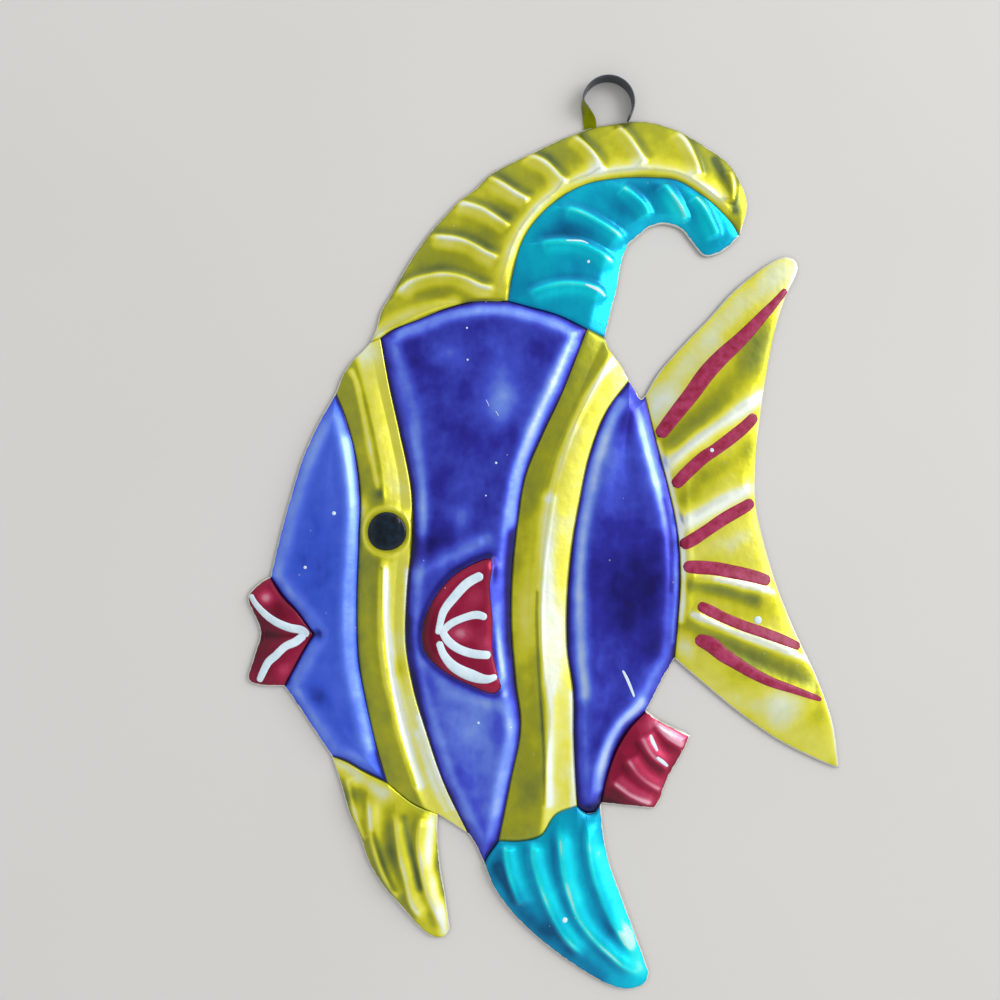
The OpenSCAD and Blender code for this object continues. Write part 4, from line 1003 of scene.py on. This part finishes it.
def enamel(name, body, thin, rough):
    """Opaque brushed enamel: a thick glossy stroke whose cover changes over about 1.4 mm, with
    bristle marks of 0.7 mm in its skin."""
    finish, tree, place = new_finish(name)
    patches = add(tree, "TexNoise", {"Vector": place, "Scale": per_mm(1.4), "Detail": 3,
                                     "Roughness": 0.6})
    cover = add(tree, "Math", {0: patches, 1: 2.2, 2: -0.75}, operation="MULTIPLY_ADD",
                use_clamp=True)
    colour = add(tree, "Mix", {0: cover, 6: body, 7: thin}, data_type="RGBA")
    bristles = add(tree, "TexNoise", {"Vector": place, "Scale": per_mm(0.7)})
    skin = add(tree, "Bump", {"Height": bristles, "Strength": 0.5, "Distance": 0.08 * MM})
    thick = add(tree, "BsdfPrincipled", {
        "Base Color": colour.outputs[2], "Metallic": 0, "Roughness": rough, "Normal": skin,
        "Specular IOR Level": 0.35})
    add(tree, "OutputMaterial", {"Surface": thick})
    return finish


def tinplate(name, bright, dull, rough, lacquered=None):
    """Rolled tinplate: a soft grey shine with the mill's lines and dull stains of 9 mm. The
    lines are finer than a picture shows, so they are drawn 0.2 mm apart."""
    finish, tree, place = new_finish(name)
    rolled = add(tree, "Mapping", {"Vector": place, "Scale": (6, 0.3, 6)})
    lines = add(tree, "TexNoise", {"Vector": rolled, "Scale": per_mm(1.2)})
    stains = add(tree, "TexNoise", {"Vector": place, "Scale": per_mm(9), "Detail": 4,
                                    "Roughness": 0.6})
    stained = add(tree, "Math", {0: stains, 1: 2, 2: -0.6}, operation="MULTIPLY_ADD",
                  use_clamp=True)
    colour = add(tree, "Mix", {0: stained, 6: bright, 7: dull}, data_type="RGBA")
    if lacquered:
        # The coat of the crest runs on over the flat tab, about 4.6 mm from where it starts.
        run = add(tree, "Attribute", attribute_name="run").outputs["Fac"]
        reach = add(tree, "Math", {0: stains, 1: 1.2, 2: run}, operation="MULTIPLY_ADD")
        wet = add(tree, "Math", {0: reach, 1: 5.2}, operation="LESS_THAN")
        colour = add(tree, "Mix", {0: wet, 6: colour.outputs[2], 7: lacquered},
                     data_type="RGBA")
    skin = add(tree, "Bump", {"Height": lines, "Strength": 0.25, "Distance": 0.03 * MM})
    roughness = add(tree, "Math", {0: stains, 1: 0.25, 2: rough - 0.1},
                    operation="MULTIPLY_ADD")
    metal = add(tree, "BsdfPrincipled", {
        "Base Color": colour.outputs[2], "Metallic": 1, "Roughness": roughness, "Normal": skin})
    add(tree, "OutputMaterial", {"Surface": metal})
    return finish


# Each finish with what it gives the eye. A lacquer has its colours from thin to pooled, which
# also run from painted highlight to painted shade, then how metallic and how rough it is, and an
# enamel its body's colour, its thin colour and roughness.

# Sky blue for the painted highlight on the shoulders, ink blue for painted shade and pooled
# lacquer along the seams.
BLUE_LACQUER = lacquer("blue_lacquer_on_tin", [
    (0, "#c0d8ff"), (0.25, "#88acff"), (0.5, "#587cfa"), (0.72, "#3a5ee6"), (0.9, "#1a2c9e"),
    (1, "#121a68")], 0.6, 0.34)
# Cloudy violet-blue, almost black for painted shade and pooled lacquer in the hollows.
VIOLET_LACQUER = lacquer("violet_lacquer_on_tin", [
    (0, "#bcd4ff"), (0.25, "#7a9cff"), (0.5, "#4a5ce6"), (0.72, "#2c2cae"), (0.9, "#140e78"),
    (1, "#0e0e54")], 0.6, 0.32, mottle=0.3)
# Straw where the tin glints through and for painted highlights, then clear yellow, and olive for
# painted shade and where it has pooled.
YELLOW_LACQUER = lacquer("yellow_lacquer_on_tin", [
    (0, "#f8fff0"), (0.16, "#f0f6be"), (0.34, "#f0ec60"), (0.5, "#dedb28"), (0.64, "#b0b21c"),
    (0.8, "#8a9230"), (1, "#566430")], 0.6, 0.32)
# Bright turquoise with painted highlights on its ribs and a soft gloss.
TURQUOISE_LACQUER = lacquer("turquoise_lacquer_on_tin", [
    (0, "#c0fff8"), (0.16, "#30f8f8"), (0.34, "#00e0f2"), (0.52, "#00bcde"), (0.7, "#009cc8"),
    (0.86, "#007cac"), (1, "#005884")], 0.6, 0.28, gloss=0.5)
# Deep crimson with pink painted highlights.
RED_LACQUER = lacquer("red_lacquer_on_tin", [
    (0, "#f8b4c8"), (0.3, "#c83c64"), (0.5, "#a61040"), (0.72, "#7e002c"), (1, "#44001a")],
    0.55, 0.3)
# Cool white strokes and spatters.
WHITE_ENAMEL = enamel("white_brushed_enamel", "#e2f3fb", "#c8e2f0", 0.4)
# Crimson strokes, pinker where the brush ran dry.
RED_ENAMEL = enamel("crimson_brushed_enamel", "#921238", "#bc4270", 0.34)
# A glossy black drop, with blue-green patches mixed into its colour as a painted reflection.
BLACK_ENAMEL = enamel("black_drop_enamel", "#02060c", "#0c2a3e", 0.1)
# The bare reverse and cut edge, a soft warm grey.
TINPLATE = tinplate("bare_tinplate", "#c4c3bd", "#8f8d86", 0.34)
# The strip of the loop, darker than the sheet, with yellow-green lacquer over its foot.
LOOP_TINPLATE = tinplate("loop_tinplate", "#70747c", "#2c2f35", 0.34, "#8a9212")


# Pieces: first a coat of lacquer on each field of the sheet.
COATS = {
    "nose": BLUE_LACQUER, "lips": RED_LACQUER, "front_stripe": YELLOW_LACQUER,
    "flank": VIOLET_LACQUER, "rear_stripe": YELLOW_LACQUER, "rear_field": VIOLET_LACQUER,
    "crest_yellow": YELLOW_LACQUER, "crest_turquoise": TURQUOISE_LACQUER,
    "front_fin": YELLOW_LACQUER, "anal_fin": TURQUOISE_LACQUER, "rear_fin": RED_LACQUER,
    "tail": YELLOW_LACQUER}

surface = {}
for name, coat in COATS.items():
    grid, tone, cut = embossed(name, FINER.get(name, COAT_FINER))
    surface[name] = grid
    points, faces = slab(raised(grid, ON_COAT), raised(grid, SHEET))
    put(name + "_film", points, faces, coat, coat.name.removesuffix("_on_tin"),
        name + "_lacquer", tone=np.tile(tone.ravel(), 2), cut=np.tile(cut.ravel(), 2))

# The embossed tin itself.
points, faces = tin_sheet_body()
put("embossed_sheet", points, faces, TINPLATE, "tinplate", "tin_sheet")

# The side fin, with painted shade towards its front and along its outline and painted highlights
# in three places, and the drop of the eye.
points, faces = side_fin_body(surface["flank"])
x, y = points[:, 0], points[:, 1]
tone = (0.52 + 0.32 * smooth((-14.6 - x) / 3) + 0.2 * bump(into(FIN_OUTLINE, x, y), 0.5)
        + clouds(x, y, [(-12.2, -14.6, 1.5, 1.1, -0.35), (-9.8, -9, 1.3, 1.3, -0.22),
                        (-8.6, -16, 1.5, 1, -0.1)]))
put("side_fin_film", points, faces, RED_LACQUER, "red_lacquer", "pectoral_fin_lacquer",
    tone=np.clip(tone, 0, 1), cut=np.full(len(points), FAR))
points, faces = drop(surface["front_stripe"], EYE, EYE_R, EYE_RISE)
put("eye_drop", points, faces, BLACK_ENAMEL, "black_enamel", "eye_enamel")

# Brush strokes: points in plan, each with the stroke's width there.
TAIL_STROKES = [
    [[17, 14.3, 1.9], [19.4, 17.5, 2.2], [22, 20.8, 2.4], [24.1, 23.7, 2.5], [26.3, 26.1, 2.4],
     [28.7, 28.3, 2.2], [30.8, 30.4, 1.9], [33.1, 32.9, 1.5], [34.6, 34.5, 1.2],
     [36.2, 36.4, 0.9]],
    [[19.2, 6.9, 1.7], [21.2, 9, 1.9], [23.6, 11.2, 1.9], [25.4, 12.4, 1.8], [27.7, 14.1, 1.9],
     [29.8, 15.8, 1.8], [31.6, 17.6, 1.6]],
    [[20.2, -1.9, 1.7], [22.1, -0.9, 1.9], [24.1, 0.4, 1.8], [26.3, 1.9, 1.9], [28, 2.9, 1.9],
     [30, 4, 1.8], [31.2, 4.8, 1.6]],
    [[20.6, -4.9, 1.7], [22.7, -5, 2], [25.3, -5.2, 2], [28, -5.7, 2], [30.8, -6.3, 1.9],
     [33.8, -7.2, 1.7]],
    [[22.8, -10.6, 1.5], [24.7, -11.5, 1.7], [26.9, -12.6, 1.6], [29.6, -13.7, 1.6],
     [32.5, -14.7, 1.6], [35.5, -15.8, 1.5], [38.3, -17, 1.2]],
    [[22.5, -15.6, 1.7], [24.7, -16.5, 2.3], [26.6, -18, 2.2], [28.6, -19.3, 1.9],
     [31.1, -20.8, 1.7], [33.8, -22.1, 1.5], [37, -23.2, 1.2], [40.3, -24.4, 0.9],
     [41.5, -24.9, 0.6]]]
SIDE_FIN_STROKES = [
    [[-9, -5.9, 1.3], [-11.3, -7.2, 1.4], [-13.2, -9.2, 1.35], [-14.7, -11.2, 1.2],
     [-15.3, -13.2, 1], [-15.6, -14.7, 0.9]],
    [[-8.4, -12.2, 1], [-9.9, -11.8, 1.2], [-11.7, -12.2, 1.1], [-13.7, -13.1, 1.1],
     [-15.1, -14.4, 1.1]],
    [[-15.2, -13.8, 1], [-14.1, -15.6, 1.3], [-12.5, -16.8, 1.3], [-10.4, -17.5, 1.3],
     [-7.8, -17.7, 1.2]],
    [[-15.5, -15.6, 1], [-14.7, -17.7, 1.2], [-13.1, -19.5, 1.6], [-10.7, -20.7, 1.8],
     [-8.6, -21.2, 1.3], [-6.9, -20.8, 0.8]]]
LIP_STROKES = [
    [[-43.8, -9.1, 0.8], [-43, -10.4, 0.9], [-41.6, -11.9, 1.1], [-39.9, -13.1, 1.2],
     [-37.8, -14, 1.3], [-36, -14.4, 1.3], [-35, -15.3, 1.1]],
    [[-35.5, -15, 1.2], [-36.9, -16.1, 1.3], [-38.4, -16.8, 1.2], [-39.9, -18.2, 1.2],
     [-41, -19.2, 1.2], [-41.9, -20.9, 1.1], [-42.5, -22.2, 0.9]]]
for name, lines, field, base, finish, slot, node in (
        ("tail_brush_strokes", TAIL_STROKES, "tail", ON_COAT, RED_ENAMEL, "red_enamel",
         "tail_red_strokes"),
        ("fin_brush_strokes", SIDE_FIN_STROKES, "flank", ON_COAT + STROKE, WHITE_ENAMEL,
         "white_enamel", "pectoral_white_strokes"),
        ("lip_brush_strokes", LIP_STROKES, "lips", ON_COAT, WHITE_ENAMEL, "white_enamel",
         "lip_white_strokes")):
    points, faces = gathered([brushed(line, surface[field], base) for line in lines])
    put(name, points, faces, finish, slot, node)

# Small spatters of white enamel, each with its field, place and radius, and pale scratches, each
# with its field and a stroke's points.
SCRATCH_RISE = 0.03
SPATTERS = [("tail", (24.9, 12.3), 0.5), ("tail", (31.8, -12.9), 0.6),
            ("anal_fin", (3.1, -57.3), 0.4), ("nose", (-31, 3), 0.3),
            ("nose", (-35.3, -5), 0.24), ("flank", (-11.3, 25.6), 0.15),
            ("flank", (-11.4, 30.3), 0.14), ("flank", (-7.1, 10.4), 0.18),
            ("flank", (-8.6, 5.6), 0.12), ("flank", (-9.7, -27.9), 0.18),
            ("flank", (-4.9, -28.6), 0.14), ("crest_turquoise", (6.6, 40.3), 0.22)]
SCRATCHES = [("rear_field", [[11.6, -20.2, 0.3], [12.4, -21.8, 0.45], [13.4, -24.3, 0.3]]),
             ("flank", [[-8.6, 19.8, 0.08], [-8.1, 18.7, 0.08]]),
             ("flank", [[-7.2, 18.1, 0.08], [-6.7, 17.3, 0.08]]),
             ("crest_turquoise", [[3.1, 43.3, 0.2], [5.4, 43.3, 0.3], [6.6, 42.9, 0.15]]),
             ("crest_turquoise", [[6, 36.9, 0.25], [8, 36.1, 0.5], [9.2, 35.2, 0.3]]),
             ("rear_fin", [[15.8, -29.9, 0.35], [16.2, -31, 0.6], [16.9, -32.4, 0.35]]),
             ("rear_fin", [[16.7, -33.2, 0.4], [17.6, -33.9, 0.55], [18.5, -34.7, 0.35]])]
flecks = [drop(surface[field], place, r, r / 3, 20) for field, place, r in SPATTERS]
flecks += [brushed(line, surface[field], ON_COAT, SCRATCH_RISE) for field, line in SCRATCHES]
points, faces = gathered(flecks)
put("enamel_flecks", points, faces, WHITE_ENAMEL, "white_enamel")

# The hanging loop.
points, faces, run = loop_body()
put("rolled_loop", points, faces, LOOP_TINPLATE, "loop_tinplate", "hanging_loop", run=run)


# Floor, light and camera.
def floor():
    """A wide pale floor just under the ornament, of paper with faint clouds of 60 mm."""
    finish, tree, place = new_finish("pale_paper")
    clouded = add(tree, "TexNoise", {"Vector": place, "Scale": per_mm(60)})
    shade = add(tree, "Mix", {0: clouded, 6: "#dcdad6", 7: "#d6d4cf"}, data_type="RGBA")
    paper = add(tree, "BsdfPrincipled", {"Base Color": shade.outputs[2], "Roughness": 0.8})
    add(tree, "OutputMaterial", {"Surface": paper})
    reach, drop_below = 2, -0.02 * MM
    corners = ((-reach, -reach), (reach, -reach), (reach, reach), (-reach, reach))
    mesh = bpy.data.meshes.new("floor")
    mesh.from_pydata([(x, y, drop_below) for x, y in corners], [], [(0, 1, 2, 3)])
    mesh.materials.append(finish)
    placed("floor", mesh)


def lamp(name, place, width, watts):
    """A square soft white lamp at a place in metres that looks at the ornament."""
    light = bpy.data.lights.new(name, "AREA")
    light.size = width
    light.energy = watts
    holder = placed(name, light)
    holder.location = place
    holder.rotation_euler = Vector(place).to_track_quat("Z", "Y").to_euler()


def studio_light():
    """A light tent: even and pale all round, dimmer overhead where its opening is, and a little
    brighter towards the lamp's side."""
    world = bpy.data.worlds.new("light_tent")
    world.use_nodes = True
    tree = world.node_tree
    way = add(tree, "SeparateXYZ", {"Vector": add(tree, "TexCoord").outputs["Generated"]})
    opening = add(tree, "MapRange", {"Value": way.outputs["Z"], "From Min": 0.97,
                                     "From Max": 0.78, "To Min": 0.42, "To Max": 0.9},
                  interpolation_type="SMOOTHSTEP")
    back = add(tree, "Math", {0: way.outputs["Y"], 1: 0.1, 2: 1}, operation="MULTIPLY_ADD")
    side = add(tree, "Math", {0: way.outputs["X"], 1: 0.25, 2: back}, operation="MULTIPLY_ADD")
    strength = add(tree, "Math", {0: opening, 1: side}, operation="MULTIPLY")
    light = tree.nodes["Background"]
    light.inputs["Color"].default_value = linear("#f4f5f7")
    tree.links.new(strength.outputs[0], light.inputs["Strength"])
    bpy.context.scene.world = world


floor()
# One lamp, half a metre wide and faint, from the right and a little behind.
lamp("window", (0.60, 0.25, 0.45), 0.5, 3.0)
studio_light()

# Where the camera stands, in millimetres. It looks straight down on a width equal to its height.
CAMERA_AT = (-6.525, 4.95, 150)
camera = placed("camera", bpy.data.cameras.new("camera"))
camera.location = [value * MM for value in CAMERA_AT]
camera.data.angle = 2 * math.atan(0.5)
camera.data.clip_start = 0.01
bpy.context.scene.camera = camera
bpy.context.scene.view_settings.view_transform = "Standard"
